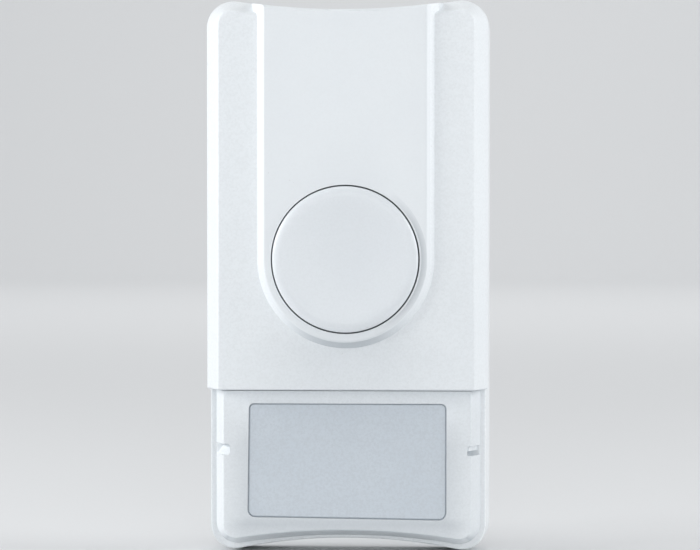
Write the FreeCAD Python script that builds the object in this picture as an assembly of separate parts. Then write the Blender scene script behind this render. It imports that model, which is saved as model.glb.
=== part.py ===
"""Wall bell push with a name window: every piece as its own solid, in millimetres.

X points right and Z up, seen from the front. The wall is the plane Y = 0 and the front faces -Y.
Depths are measured from the wall towards the front, so a depth d lies at Y = -d.
"""
import FreeCAD, Part
import math
import os

Vector = FreeCAD.Vector
FRONT = Vector(0, -1, 0)
RIGHT = Vector(1, 0, 0)

# Outline of the housing against the wall
HALF_WIDTH = 21.15
CORNER_RADIUS = 4.1
END_PEAK = 41.38
TOP_MIDDLE = 40.05
BOTTOM_MIDDLE = -39.67

# Rear housing
RIM_DEPTH = 8.0
RIM_DRAFT = 0.42
RIM_EDGE_RADIUS = 0.3
BACK_WALL = 1.6
CAVITY_INSET = 2.05
RABBET_INSET = 1.3
RABBET_DEPTH = 7.0
PARTITION_TOP = -15.1
PARTITION_THICKNESS = 1.4
TAPE_RECESS = 0.4
TAPE_HALF_WIDTH = 15.5
TAPE_FIELDS = ((3.0, 28.0), (-27.5, -3.0))
TAPE_CORNER = 2.5

# Front cover: upright walls up to the break, then a flat slope to the face
COVER_END = -16.65
COVER_FOOT = 8.1
COVER_BREAK = 10.6
COVER_FACE = 15.0
COVER_DRAFT_PER_MM = 0.045
COVER_FACE_INSET = 2.1
COVER_END_STRETCH = 0.37
COVER_BREAK_RADIUS = 2.2
COVER_EDGE_RADIUS = 0.5
COVER_WALL = 1.6
COVER_CAVITY_INSET = 1.75
LIP_DEPTH = 7.9
LIP_OUTER_INSET = 1.4
LIP_INNER_INSET = 1.95
LIP_ROOT = 0.5
COVER_END_EDGE = 0.3

# Hooks inside the front cover's top edge and the recesses in the housing that they catch
HOOK_XS = (-11.0, 11.0)
HOOK_HALF_WIDTH = 2.5
HOOK_TIP = 4.5
HOOK_ROOT = 9.5
HOOK_THICKNESS = 1.2
HOOK_CLEARANCE = 0.15
BARB_REACH = 0.45
BARB_DEPTHS = (4.6, 5.7)
HOOK_RECESS_REACH = 0.75
HOOK_RECESS_DEPTHS = (4.4, 5.9)
HOOK_RECESS_HALF_WIDTH = 3.0

# Raised panel on the front cover
BUTTON_Z = 2.8
PANEL_FACE = 16.3
PANEL_RADIUS = 12.04
PANEL_FACE_DROP = 0.16
PANEL_SLOPE = 0.83
PANEL_KNEE = 14.2
PANEL_SKIRT_SLOPE = 0.15
PANEL_EDGE_RADIUS = 0.4
PANEL_INNER_RADIUS = 11.4
PANEL_UNDERSIDE = 14.5

# Push button and its well
BUTTON_RADIUS = 10.8
BUTTON_GAP = 0.22
BUTTON_FACE = 17.0
BUTTON_EDGE_RADIUS = 0.65
BUTTON_DISH = 0.2
BUTTON_INNER_RADIUS = 9.4
BUTTON_UNDERSIDE = 15.4
BUTTON_BACK = 13.25
FLANGE_RADIUS = 11.9
FLANGE_FRONT = 14.4
WELL_RADIUS = 12.3
WELL_OUTER_RADIUS = 13.7
WELL_BACK = 12.6
KEY_WIDTH = 1.2
KEY_REACH = 0.9
KEY_PLAY = 0.3
STEM_RADIUS = 2.8
STEM_TIP = 11.1
STEM_CLEARANCE = 0.07

# Guide plate behind the button
GUIDE_THICKNESS = 1.2
GUIDE_RADIUS = 13.6
GUIDE_EAR_REACH = 15.6
GUIDE_EAR_RADIUS = 2.3
GUIDE_EAR_ANGLES = (90, 210, 330)
GUIDE_BOSS_RADIUS = 2.1
GUIDE_SCREW_RADIUS = 0.9
GUIDE_SCREW_HEAD = (1.75, 1.1)
GUIDE_SCREW_TIP = 14.1
GUIDE_RIM_INNER = 7.3
GUIDE_RIM_OUTER = 8.4
GUIDE_RIM_BACK = 9.9
SPRING_MEAN_RADIUS = 4.5
SPRING_WIRE = 0.5
SPRING_TURNS = 3.5
SPRING_SEAT_RECESS = 0.3
SPRING_SEAT_HALF = 0.55

# Switch boot and its clip
BOOT_HUB_RADIUS = 2.4
BOOT_HUB_BACK = 9.98
BOOT_BENDS = (3.6, 5.0)
BOOT_SKIN = 0.34
BOOT_BEAD_INNER = 6.2
BOOT_BEAD_BACK = 10.6
CLIP_INNER_RADIUS = 6.3

# Circuit board and tactile switch
BOARD_BACK = 4.4
BOARD_THICKNESS = 1.2
BOARD_HALF_WIDTH = 17.3
BOARD_TOP = 18.6
BOARD_BOTTOM = -14.0
BOARD_CHAMFER = 1.5
BOARD_SCREWS = ((-12.0, 15.8), (12.0, 15.8), (-14.8, -11.4), (14.8, -11.4))
BOARD_SCREW_RADIUS = 0.95
BOARD_SCREW_HEAD = (1.9, 1.2)
BOARD_SCREW_TIP = 2.3
BOARD_SCREW_HOLE = 1.2
PILLAR_RADIUS = 2.2
SWITCH_HALF = 3.1
SWITCH_BODY_HEIGHT = 3.2
SWITCH_PLATE = 0.3
PLUNGER_RADIUS = 1.7
PLUNGER_HEAD_RADIUS = 2.2
PLUNGER_TOP = 9.9
PLUNGER_CLEARANCE = 0.08
DOME_RADIUS = 2.2
DOME_RISE = 0.5
DOME_THICKNESS = 0.1

# Parts on the board: each centre as (x, z), sizes across, along and above the board
ENCODER_AT, ENCODER_SIZE, ENCODER_LEADS, ENCODER_PITCH = (-11.0, 4.0), (3.9, 8.6, 1.7), 7, 1.27
RADIO_AT, RADIO_SIZE, RADIO_LEADS, RADIO_PITCH = (11.2, 6.6), (3.0, 3.1, 1.2), 3, 0.95
CAN_AT, CAN_RADIUS, CAN_FLANGE, CAN_HEIGHT = (11.0, -1.2), 3.9, 4.4, 3.1
COIL_START, COIL_Z, COIL_RADIUS, COIL_WIRE, COIL_LENGTH, COIL_TURNS = -11.2, -7.4, 1.7, 0.35, 9.8, 7
CAPACITOR_AT, CAPACITOR_RADIUS, CAPACITOR_FOOT, CAPACITOR_HEIGHT = (3.6, -8.2), 2.4, 2.6, 3.9
RESISTOR_PLACES = [(x, z) for x in (-6.9, -5.2) for z in (-1.0, 2.4, 5.8)]
RESISTOR_SIZE = (0.85, 1.6, 0.45)
CERAMIC_PLACES = [(7.2, 4.4), (7.2, 7.6), (14.9, 5.2), (14.9, 8.4)]
CERAMIC_SIZE = (1.0, 1.9, 0.9)
PIN_PITCH = 2.54
PIN_Z = 10.6
PIN_HALF = 0.3
PIN_HEIGHT = 3.6
HEADER_HALF = (3.9, 2.55)
HEADER_HEIGHT = 1.5
JUMPER_HALF = (1.15, 2.35)
JUMPER_HEIGHT = 4.0

# Battery bay
BATTERY_RADIUS = 5.15
BATTERY_LENGTH = 27.5
BATTERY_LEFT = -14.0
BATTERY_DEPTH = 7.1
BATTERY_Z = 26.2
NUB_RADIUS = 1.6
NUB_LENGTH = 0.9
CONTACT_THICKNESS = 0.4
CONTACT_HALF = 4.2
CONTACT_HEIGHT = 11.1
CONTACT_STRIP_END = 16.4
SPRING_ROOM = 3.0
CRADLE_X = 8.0
SADDLE_HALF = 0.6
SADDLE_DEPTH = 4.9
SADDLE_CLEARANCE = 0.1
SADDLE_MARGINS = (0.9, 4.2)
CONTACT_WALL_HALF = 4.0
CONTACT_WALL_HEIGHT = 6.8
CONTACT_WALL_THICKNESS = 1.3
BATTERY_SPRING_WIRE = 0.5
BATTERY_SPRING_RADIUS = 2.9
BATTERY_SPRING_TURNS = 3

# Wall screws and the cover screw
WALL_SCREW_RADIUS = 2.1
WALL_SCREW_TOP = 34.5
WALL_SCREW_BOTTOM = -33.5
WALL_SCREW_BOSS_RADIUS = 4.0
WALL_SCREW_BOSS = 2.2
COVER_SCREW_Z = -20.8
COVER_SCREW_RADIUS = 1.15
COVER_SCREW_HEAD = (2.1, 1.2)
COVER_SCREW_TIP = 2.5
COVER_SCREW_BOSS_RADIUS = 2.6
TAB_BACK = 5.4
TAB_FRONT = 6.8
TAB_HALF_WIDTH = 3.2
TAB_MARGIN = 2.6
TAB_WEB = (6.0, 1.25)

# Name cover
NAME_TOP = -16.95
NAME_FOOT = 8.05
NAME_FACE = 11.4
NAME_HALF_WIDTH = 19.98
NAME_CORNER = 3.3
NAME_PEAK = -40.19
NAME_MIDDLE = -38.9
NAME_FOOT_INSET = 0.1
NAME_FACE_INSET = 1.4
NAME_END_STRETCH = 0.28
NAME_EDGE_RADIUS = 0.3
NAME_WALL = 1.3
NAME_UNDERSIDE = 9.9

# Pry notches. The left one has a floor that slopes up from a line to one corner, the right one a step.
NOTCH_FLOOR = 8.4
NOTCH_BACKING = 0.9
SCOOP_X = -17.55
SCOOP_Z = (-26.6, -24.9)
SCOOP_LINE = ((-19.65, -26.35), (-18.6, -25.0))
SCOOP_CORNER_RADIUS = 0.45
STEP_X = 17.95
STEP_Z = (-26.6, -25.9, -25.15)
STEP_SINK = 0.4

# Friction posts of the name cover
POST_X = 17.0
POST_ZS = (-20.6, -34.6)
POST_RADIUS = 1.1
POST_TIP = 4.0
POST_CLEARANCE = 0.03
SOCKET_RADIUS = 2.1
SOCKET_DEPTH = 6.5

# Name window, card and retainer. The window's lower and left edges lean a little, as on the real object.
WINDOW_Z = -27.45
WINDOW_SEAM = ((-14.62, -18.89), (14.78, -18.89), (14.78, -36.18), (-14.85, -35.8))
WINDOW_GAP = 0.16
WINDOW_CORNER = 0.8
WINDOW_LOW_CORNER_GAIN = 0.35
WINDOW_EDGE = 0.12
WINDOW_FRONT = 11.25
WINDOW_LIP_BACK = 10.95
WINDOW_BACK = 9.3
WINDOW_FLANGE = 0.7
WINDOW_PLAY = 0.1
CARD_MARGIN = 0.3
CARD_THICKNESS = 0.2
RETAINER_THICKNESS = 0.8
RETAINER_HALF = (15.2, 9.1)
PEG_RADIUS = 0.5
PEG_TIP = 0.15
PEG_X = 16.3
PEG_REACH_Z = 4.4
EAR_HALF = 0.95

# Room left between pieces that only stand close together, and between a screw and its bore
GAP = 0.05
SCREW_BORE_GAP = 0.02
BORE_END = 0.3
HOLE_CLEARANCE = 0.2

# Share of a screw head's radius or height for its edge and its cross slot
HEAD_EDGE, SLOT_DEPTH, SLOT_REACH, SLOT_HALF = 0.35, 0.5, 0.62, 0.16

FAR_OUT = 60.0


def point(x, z, depth=0.0):
    """A point from its place seen from the front and its depth."""
    return Vector(x, -depth, z)


def round_bar(radius, near, far, x=0.0, z=0.0):
    """A cylinder that runs from one depth to another."""
    return Part.makeCylinder(radius, far - near, point(x, z, near), FRONT)


def ring(outer, inner, near, far, x=0.0, z=0.0):
    """A tube that runs from one depth to another."""
    return round_bar(outer, near, far, x, z).cut(round_bar(inner, near, far, x, z))


def block(x_range, z_range, near, far):
    """A box given by its sides seen from the front and its two depths."""
    size = (x_range[1] - x_range[0], far - near, z_range[1] - z_range[0])
    return Part.makeBox(size[0], size[1], size[2], point(x_range[0], z_range[0], far))


def across(radius, x_range, z, depth):
    """A cylinder that lies along X."""
    return Part.makeCylinder(radius, x_range[1] - x_range[0], point(x_range[0], z, depth), RIGHT)


def revolved(profile):
    """Turn a closed list of (radius, depth) corners about the button's axis."""
    corners = [point(radius, BUTTON_Z, depth) for radius, depth in profile]
    face = Part.Face(Part.makePolygon(corners + corners[:1]))
    return face.revolve(point(0, BUTTON_Z), FRONT, 360)


def edges_at(shape, depth):
    """Every edge that lies wholly at one depth."""
    return [edge for edge in shape.Edges if abs(edge.BoundBox.YMin + depth) < 1e-4
            and abs(edge.BoundBox.YMax + depth) < 1e-4]


def joined(first, *others):
    """Fuse solids into one clean solid."""
    return first.fuse(list(others)).removeSplitter()


def end_edges(side, centre_z, middle, half_width, corner, bow, depth):
    """The two corners and the bowed-in edge of one end, from right to left. side is 1 at the top."""
    centre_x = half_width - corner
    bow_z = middle + side * bow
    reach = corner / math.hypot(centre_x, bow_z - centre_z)
    touch_x = centre_x * (1 - reach)
    touch_z = centre_z + reach * (bow_z - centre_z)
    half = corner * math.sqrt(0.5)
    edges = []
    for sign in (1, -1):
        outer = point(sign * half_width, centre_z, depth)
        middle_of_corner = point(sign * (centre_x + half), centre_z + side * half, depth)
        inner = point(sign * touch_x, touch_z, depth)
        edges.append(Part.Arc(outer, middle_of_corner, inner).toShape())
    arch = Part.Arc(point(touch_x, touch_z, depth), point(0, middle, depth), point(-touch_x, touch_z, depth))
    return [edges[0], arch.toShape(), edges[1]]


class Outline:
    """A rounded rectangle with bowed-in ends, seen from the front, that can be inset evenly."""

    def __init__(self, half_width, corner, top, bottom):
        self.half_width = half_width
        self.corner = corner
        self.ends = []
        for side, (peak, middle) in ((1, top), (-1, bottom)):
            centre_z = peak - side * corner
            sag = side * (middle - centre_z)
            centre_x = half_width - corner
            bow = (centre_x ** 2 + sag ** 2 - corner ** 2) / (2 * (corner - sag))
            self.ends.append((side, centre_z, middle, bow))

    def wire(self, inset, depth, stretch=0.0):
        """The closed outline at one depth, moved inwards by inset, with its ends moved out by stretch."""
        half_width = self.half_width - inset
        corner = self.corner - inset
        edges = []
        for side, centre_z, middle, bow in self.ends:
            shift = side * stretch
            edges.append(end_edges(side, centre_z + shift, middle - side * inset + shift, half_width, corner,
                                   bow + inset, depth))
        top_z, bottom_z = self.ends[0][1] + stretch, self.ends[1][1] - stretch
        sides = [Part.makeLine(point(x, top_z, depth), point(x, bottom_z, depth))
                 for x in (half_width, -half_width)]
        return Part.Wire(Part.__sortEdges__(edges[0] + edges[1] + sides))

    def prism(self, inset, near, far):
        """The outline as a straight solid between two depths."""
        return Part.Face(self.wire(inset, near)).extrude(FRONT * (far - near))

    def taper(self, near_inset, near, far_inset, far, far_stretch=0.0):
        """A solid whose walls lean from one inset to another, and less at the ends by far_stretch."""
        far_wire = self.wire(far_inset, far, far_stretch)
        return Part.makeLoft([self.wire(near_inset, near), far_wire], True, True)

    def band(self, outer_inset, inner_inset, near, far):
        """A wall that follows the outline."""
        return self.prism(outer_inset, near, far).cut(self.prism(inner_inset, near, far))


BODY = Outline(HALF_WIDTH, CORNER_RADIUS, (END_PEAK, TOP_MIDDLE), (-END_PEAK, BOTTOM_MIDDLE))
NAME = Outline(NAME_HALF_WIDTH, NAME_CORNER, (END_PEAK, TOP_MIDDLE), (NAME_PEAK, NAME_MIDDLE))


def above(z, near=-1.0, far=FAR_OUT):
    """Everything above one height."""
    return block((-FAR_OUT, FAR_OUT), (z, FAR_OUT), near, far)


def below(z, near=-1.0, far=FAR_OUT):
    """Everything below one height."""
    return block((-FAR_OUT, FAR_OUT), (-FAR_OUT, z), near, far)


def ear_places():
    """Centres of the guide plate's ears."""
    places = []
    for angle in GUIDE_EAR_ANGLES:
        turn = math.radians(angle)
        places.append((GUIDE_EAR_REACH * math.cos(turn), BUTTON_Z + GUIDE_EAR_REACH * math.sin(turn)))
    return places


def window_plate(grow, corner, near, far):
    """A plate with the outline of the window's seam, moved outwards by grow, with round corners."""
    corners = [point(x + grow * math.copysign(1, x), z + grow * math.copysign(1, z - WINDOW_Z), near)
               for x, z in WINDOW_SEAM]
    plate = Part.Face(Part.makePolygon(corners + corners[:1])).extrude(FRONT * (far - near))
    uprights = [edge for edge in plate.Edges if edge.BoundBox.YLength > 0.9 * (far - near)]
    low = [edge for edge in uprights if edge.BoundBox.ZMax < WINDOW_Z]
    high = [edge for edge in uprights if edge.BoundBox.ZMax > WINDOW_Z]
    plate = plate.makeFillet(corner, high)
    uprights = [edge for edge in plate.Edges if edge.BoundBox.YLength > 0.9 * (far - near)
                and any(edge.CenterOfMass.distanceToPoint(old.CenterOfMass) < GAP for old in low)]
    return plate.makeFillet(corner + WINDOW_LOW_CORNER_GAIN, uprights)


def pan_screw(x, z, head_size, shank_radius, tip, seat, side=1):
    """A screw whose head bears on a seat, towards the front when side is 1 and towards the wall when -1."""
    head_radius = head_size[0]
    head_height = side * head_size[1]
    low, high = sorted((seat, seat + head_height))
    head = round_bar(head_radius, low, high, x, z)
    outer = seat + head_height
    head = head.makeFillet(HEAD_EDGE * abs(head_height), edges_at(head, outer))
    slot_low, slot_high = sorted((outer, outer - SLOT_DEPTH * head_height))
    reach = SLOT_REACH * head_radius
    thin = SLOT_HALF * head_radius
    cross = block((x - reach, x + reach), (z - thin, z + thin), slot_low, slot_high)
    cross = cross.fuse(block((x - thin, x + thin), (z - reach, z + reach), slot_low, slot_high))
    near, far = sorted((tip, seat))
    return joined(head.cut(cross), round_bar(shank_radius, near, far, x, z))


def gasket_path(outer_inset, inner_inset, near, far, foot_outer, foot_inner):
    """A closed band: along the housing's wall above the partition, and straight across on top of it."""
    outer = BODY.prism(outer_inset, near, far).common(above(foot_outer))
    inner = BODY.prism(inner_inset, near, far).common(above(foot_inner))
    return outer.cut(inner)


def rear_housing():
    """Tray against the wall, with its rim, rabbet, partition, bosses, sockets and battery cradle."""
    shell = BODY.taper(0, 0, RIM_DRAFT, RIM_DEPTH)
    shell = shell.makeFillet(RIM_EDGE_RADIUS, edges_at(shell, RIM_DEPTH))
    shell = shell.cut(BODY.prism(CAVITY_INSET, BACK_WALL, RIM_DEPTH + 1))
    partition_foot = PARTITION_TOP - PARTITION_THICKNESS
    rabbet = BODY.prism(RABBET_INSET, RABBET_DEPTH, RIM_DEPTH + 1).common(above(COVER_END - 0.1))
    shell = shell.cut(rabbet)
    inside = BODY.prism(CAVITY_INSET - GAP, BACK_WALL - GAP, RABBET_DEPTH)
    added = [block((-FAR_OUT, FAR_OUT), (partition_foot, PARTITION_TOP), BACK_WALL - GAP, RABBET_DEPTH)]
    added += [round_bar(PILLAR_RADIUS, BACK_WALL - GAP, BOARD_BACK, x, z) for x, z in BOARD_SCREWS]
    added += [round_bar(WALL_SCREW_BOSS_RADIUS, BACK_WALL - GAP, WALL_SCREW_BOSS, 0, z)
              for z in (WALL_SCREW_TOP, WALL_SCREW_BOTTOM)]
    added.append(round_bar(COVER_SCREW_BOSS_RADIUS, BACK_WALL - GAP, TAB_BACK - GAP, 0, COVER_SCREW_Z))
    added += [round_bar(SOCKET_RADIUS, BACK_WALL - GAP, SOCKET_DEPTH, sign * POST_X, z)
              for sign in (1, -1) for z in POST_ZS]
    added += battery_cradle()
    shell = joined(shell, *[piece.common(inside) for piece in added])
    removed = [round_bar(WALL_SCREW_RADIUS, -1, WALL_SCREW_BOSS + 1, 0, z)
               for z in (WALL_SCREW_TOP, WALL_SCREW_BOTTOM)]
    pilot = BOARD_SCREW_RADIUS + SCREW_BORE_GAP
    removed += [round_bar(pilot, BOARD_SCREW_TIP - BORE_END, BOARD_BACK + 1, x, z) for x, z in BOARD_SCREWS]
    pilot = COVER_SCREW_RADIUS + SCREW_BORE_GAP
    removed.append(round_bar(pilot, COVER_SCREW_TIP - BORE_END, TAB_BACK, 0, COVER_SCREW_Z))
    socket = POST_RADIUS + POST_CLEARANCE
    removed += [round_bar(socket, POST_TIP - 2 * BORE_END, SOCKET_DEPTH + 1, sign * POST_X, z)
                for sign in (1, -1) for z in POST_ZS]
    removed += hook_windows()
    removed += tape_recesses()
    return shell.cut(removed).removeSplitter()


def tape_recesses():
    """Two shallow fields in the back for adhesive pads, with a bar left between them."""
    fields = []
    for low, high in TAPE_FIELDS:
        field = block((-TAPE_HALF_WIDTH, TAPE_HALF_WIDTH), (low, high), -1, TAPE_RECESS)
        uprights = [edge for edge in field.Edges if edge.BoundBox.YLength > 1]
        fields.append(field.makeFillet(TAPE_CORNER, uprights))
    return fields


def battery_cradle():
    """Two saddles under the cell and two posts behind its contacts."""
    cell = across(BATTERY_RADIUS + SADDLE_CLEARANCE, (-HALF_WIDTH, HALF_WIDTH), BATTERY_Z, BATTERY_DEPTH)
    z_range = (BATTERY_Z - BATTERY_RADIUS - SADDLE_MARGINS[0], BATTERY_Z + SADDLE_MARGINS[1])
    saddles = [block((sign * CRADLE_X - SADDLE_HALF, sign * CRADLE_X + SADDLE_HALF), z_range,
                     BACK_WALL - GAP, SADDLE_DEPTH).cut(cell) for sign in (1, -1)]
    positive = positive_contact_x() + CONTACT_THICKNESS + GAP
    negative = negative_contact_x() - GAP
    z_range = (BATTERY_Z - CONTACT_WALL_HALF, BATTERY_Z + CONTACT_WALL_HALF)
    walls = [block(x_range, z_range, BACK_WALL - GAP, CONTACT_WALL_HEIGHT)
             for x_range in ((positive, positive + CONTACT_WALL_THICKNESS),
                             (negative - CONTACT_WALL_THICKNESS, negative))]
    return saddles + walls


def hook_windows():
    """Recesses in the housing's top wall that the front cover's hooks catch."""
    ring_cut = BODY.band(CAVITY_INSET - HOOK_RECESS_REACH, CAVITY_INSET + GAP, *HOOK_RECESS_DEPTHS)
    return [ring_cut.common(top_stretch(x, HOOK_RECESS_HALF_WIDTH)) for x in HOOK_XS]


def top_stretch(x, half_width):
    """Everything near the top end within half_width of x."""
    return block((x - half_width, x + half_width), (BATTERY_Z, FAR_OUT), 0, COVER_FACE)


def cover_hooks():
    """Two barbed tongues inside the front cover's top edge."""
    outer = CAVITY_INSET + HOOK_CLEARANCE
    inner = outer + HOOK_THICKNESS
    tongue = BODY.band(outer, inner, HOOK_TIP, HOOK_ROOT)
    bridge = BODY.band(COVER_CAVITY_INSET - GAP, inner, COVER_FOOT + HOOK_CLEARANCE, HOOK_ROOT)
    barb = BODY.band(CAVITY_INSET - BARB_REACH, outer + GAP, *BARB_DEPTHS)
    hook = tongue.fuse([bridge, barb])
    return [hook.common(top_stretch(x, HOOK_HALF_WIDTH)) for x in HOOK_XS]


def panel_wire(radius, depth, drop=0.0):
    """The raised panel's outline: a half circle round the button with straight sides up to the top."""
    top = END_PEAK + 4
    centre_z = BUTTON_Z - drop
    left, right = point(-radius, centre_z, depth), point(radius, centre_z, depth)
    arc = Part.Arc(right, point(0, centre_z - radius, depth), left)
    corners = [left, point(-radius, top, depth), point(radius, top, depth), right]
    return Part.Wire([arc.toShape()] + Part.makePolygon(corners).Edges)


def leaning_outline(far):
    """The front cover's upright walls, carried on to any depth."""
    return BODY.taper(0, COVER_FOOT, COVER_DRAFT_PER_MM * (far - COVER_FOOT), far)


def cover_hull(inset, foot, far):
    """The front cover's upright walls and the slope in front of them, moved inwards by inset."""
    start = inset + COVER_DRAFT_PER_MM * (foot - COVER_FOOT)
    turn = inset + COVER_DRAFT_PER_MM * (COVER_BREAK - COVER_FOOT)
    lean = (COVER_FACE_INSET - turn + inset) / (COVER_FACE - COVER_BREAK)
    rise = far - COVER_BREAK
    stretch = COVER_END_STRETCH * rise / (COVER_FACE - COVER_BREAK)
    slope = BODY.taper(turn, COVER_BREAK, turn + lean * rise, far, stretch)
    return joined(BODY.taper(start, foot, turn, COVER_BREAK), slope)


def raised_panel():
    """U-shaped panel that runs off the cover's top end, with sloping sides that steepen further down."""
    knee = PANEL_RADIUS + PANEL_SLOPE * (PANEL_FACE - PANEL_KNEE)
    foot = knee + PANEL_SKIRT_SLOPE * (PANEL_KNEE - COVER_BREAK)
    face = panel_wire(PANEL_RADIUS, PANEL_FACE, PANEL_FACE_DROP)
    sides = Part.makeLoft([panel_wire(knee, PANEL_KNEE), face], True, True)
    skirt = Part.makeLoft([panel_wire(foot, COVER_BREAK), panel_wire(knee, PANEL_KNEE)], True, True)
    panel = joined(sides, skirt).common(leaning_outline(PANEL_FACE + 1))
    return panel.makeFillet(PANEL_EDGE_RADIUS, edges_at(panel, PANEL_FACE))


def cover_cavity():
    """The hollow inside the front cover, deeper under the raised panel."""
    room = cover_hull(COVER_CAVITY_INSET, COVER_FOOT - 1, COVER_FACE - COVER_WALL)
    panel_room = Part.Face(panel_wire(PANEL_INNER_RADIUS, COVER_FOOT))
    panel_room = panel_room.extrude(FRONT * (PANEL_UNDERSIDE - COVER_FOOT))
    panel_room = panel_room.common(BODY.prism(LIP_INNER_INSET, COVER_FOOT, PANEL_UNDERSIDE))
    return room.fuse(panel_room).common(above(COVER_END + COVER_WALL))


def cover_tab():
    """Tab below the front cover that takes the cover screw, hidden by the name cover."""
    half_width, thickness = TAB_WEB
    web_range = (COVER_END - thickness, COVER_END + GAP)
    web = block((-half_width, half_width), web_range, TAB_BACK, NAME_UNDERSIDE - 4 * GAP)
    tongue_range = (COVER_SCREW_Z - TAB_MARGIN, COVER_END)
    return web.fuse(block((-TAB_HALF_WIDTH, TAB_HALF_WIDTH), tongue_range, TAB_BACK, TAB_FRONT))


def front_cover():
    """Upper cover with the raised panel, button well, gasket lip, hooks and screw tab."""
    body = cover_hull(0, COVER_FOOT, COVER_FACE)
    body = body.makeFillet(COVER_EDGE_RADIUS, edges_at(body, COVER_FACE))
    body = body.makeFillet(COVER_BREAK_RADIUS, edges_at(body, COVER_BREAK)).common(above(COVER_END))
    end_rim = [edge for edge in body.Edges if abs(edge.BoundBox.ZMin - COVER_END) < 1e-4
               and abs(edge.BoundBox.ZMax - COVER_END) < 1e-4 and -edge.BoundBox.YMin > COVER_FOOT + 0.01]
    body = body.makeFillet(COVER_END_EDGE, end_rim)
    body = joined(body, raised_panel()).cut(cover_cavity())
    underside = COVER_FACE - COVER_WALL
    well = ring(WELL_OUTER_RADIUS, WELL_RADIUS, WELL_BACK, underside + GAP, 0, BUTTON_Z)
    key_foot = BUTTON_Z - WELL_RADIUS
    key = block((-KEY_WIDTH / 2, KEY_WIDTH / 2), (key_foot - KEY_PLAY, key_foot + KEY_REACH),
                WELL_BACK, PANEL_UNDERSIDE + GAP)
    bosses = [round_bar(GUIDE_BOSS_RADIUS, WELL_BACK, underside + GAP, x, z) for x, z in ear_places()[1:]]
    top_x, top_z = ear_places()[0]
    bosses.append(round_bar(GUIDE_BOSS_RADIUS, WELL_BACK, PANEL_UNDERSIDE + GAP, top_x, top_z))
    lip = gasket_path(LIP_OUTER_INSET, LIP_INNER_INSET, LIP_DEPTH, COVER_FOOT + LIP_ROOT,
                      COVER_END, COVER_END + COVER_WALL)
    well_room = ring(WELL_RADIUS, PANEL_INNER_RADIUS - 1, WELL_BACK - 1, PANEL_UNDERSIDE, 0, BUTTON_Z)
    body = joined(body.cut(well_room), well, key, lip, cover_tab(), *bosses, *cover_hooks())
    hole_radius = BUTTON_RADIUS + BUTTON_GAP
    removed = [round_bar(hole_radius, WELL_BACK, PANEL_FACE + 1, 0, BUTTON_Z)]
    pilot = GUIDE_SCREW_RADIUS + SCREW_BORE_GAP
    bore_end = GUIDE_SCREW_TIP + BORE_END / 2
    removed += [round_bar(pilot, WELL_BACK - 1, bore_end, x, z) for x, z in ear_places()]
    screw_hole = COVER_SCREW_RADIUS + HOLE_CLEARANCE
    removed.append(round_bar(screw_hole, TAB_BACK - 1, TAB_FRONT + 1, 0, COVER_SCREW_Z))
    return body.cut(removed).removeSplitter()


def housing_gasket():
    """Soft seal in the housing's rabbet and along the partition."""
    foot = PARTITION_TOP - PARTITION_THICKNESS
    return gasket_path(RABBET_INSET + GAP, CAVITY_INSET, RABBET_DEPTH, LIP_DEPTH, foot + GAP, PARTITION_TOP)


def cover_screw():
    """Screw that holds the front cover's tab to the housing."""
    return pan_screw(0, COVER_SCREW_Z, COVER_SCREW_HEAD, COVER_SCREW_RADIUS, COVER_SCREW_TIP, TAB_FRONT)


def push_button():
    """Round cap with a dished face, a hollow back, a retaining flange and a central stem."""
    cap = round_bar(BUTTON_RADIUS, BUTTON_BACK, BUTTON_FACE, 0, BUTTON_Z)
    cap = cap.makeFillet(BUTTON_EDGE_RADIUS, edges_at(cap, BUTTON_FACE))
    flat_radius = BUTTON_RADIUS - BUTTON_EDGE_RADIUS
    dish_radius = (flat_radius ** 2 + BUTTON_DISH ** 2) / (2 * BUTTON_DISH)
    dish = Part.makeSphere(dish_radius, point(0, BUTTON_Z, BUTTON_FACE - BUTTON_DISH + dish_radius))
    cap = cap.cut(dish)
    flange = round_bar(FLANGE_RADIUS, BUTTON_BACK, FLANGE_FRONT, 0, BUTTON_Z)
    hollow = round_bar(BUTTON_INNER_RADIUS, BUTTON_BACK - 1, BUTTON_UNDERSIDE, 0, BUTTON_Z)
    body = cap.fuse(flange).cut(hollow)
    stem = round_bar(STEM_RADIUS, STEM_TIP, BUTTON_UNDERSIDE + GAP, 0, BUTTON_Z)
    notch = block((-KEY_WIDTH / 2 - KEY_PLAY, KEY_WIDTH / 2 + KEY_PLAY),
                  (BUTTON_Z - FLANGE_RADIUS - 1, BUTTON_Z - WELL_RADIUS + KEY_REACH + KEY_PLAY),
                  BUTTON_BACK - 1, FLANGE_FRONT)
    return joined(body, stem).cut(notch)


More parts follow.
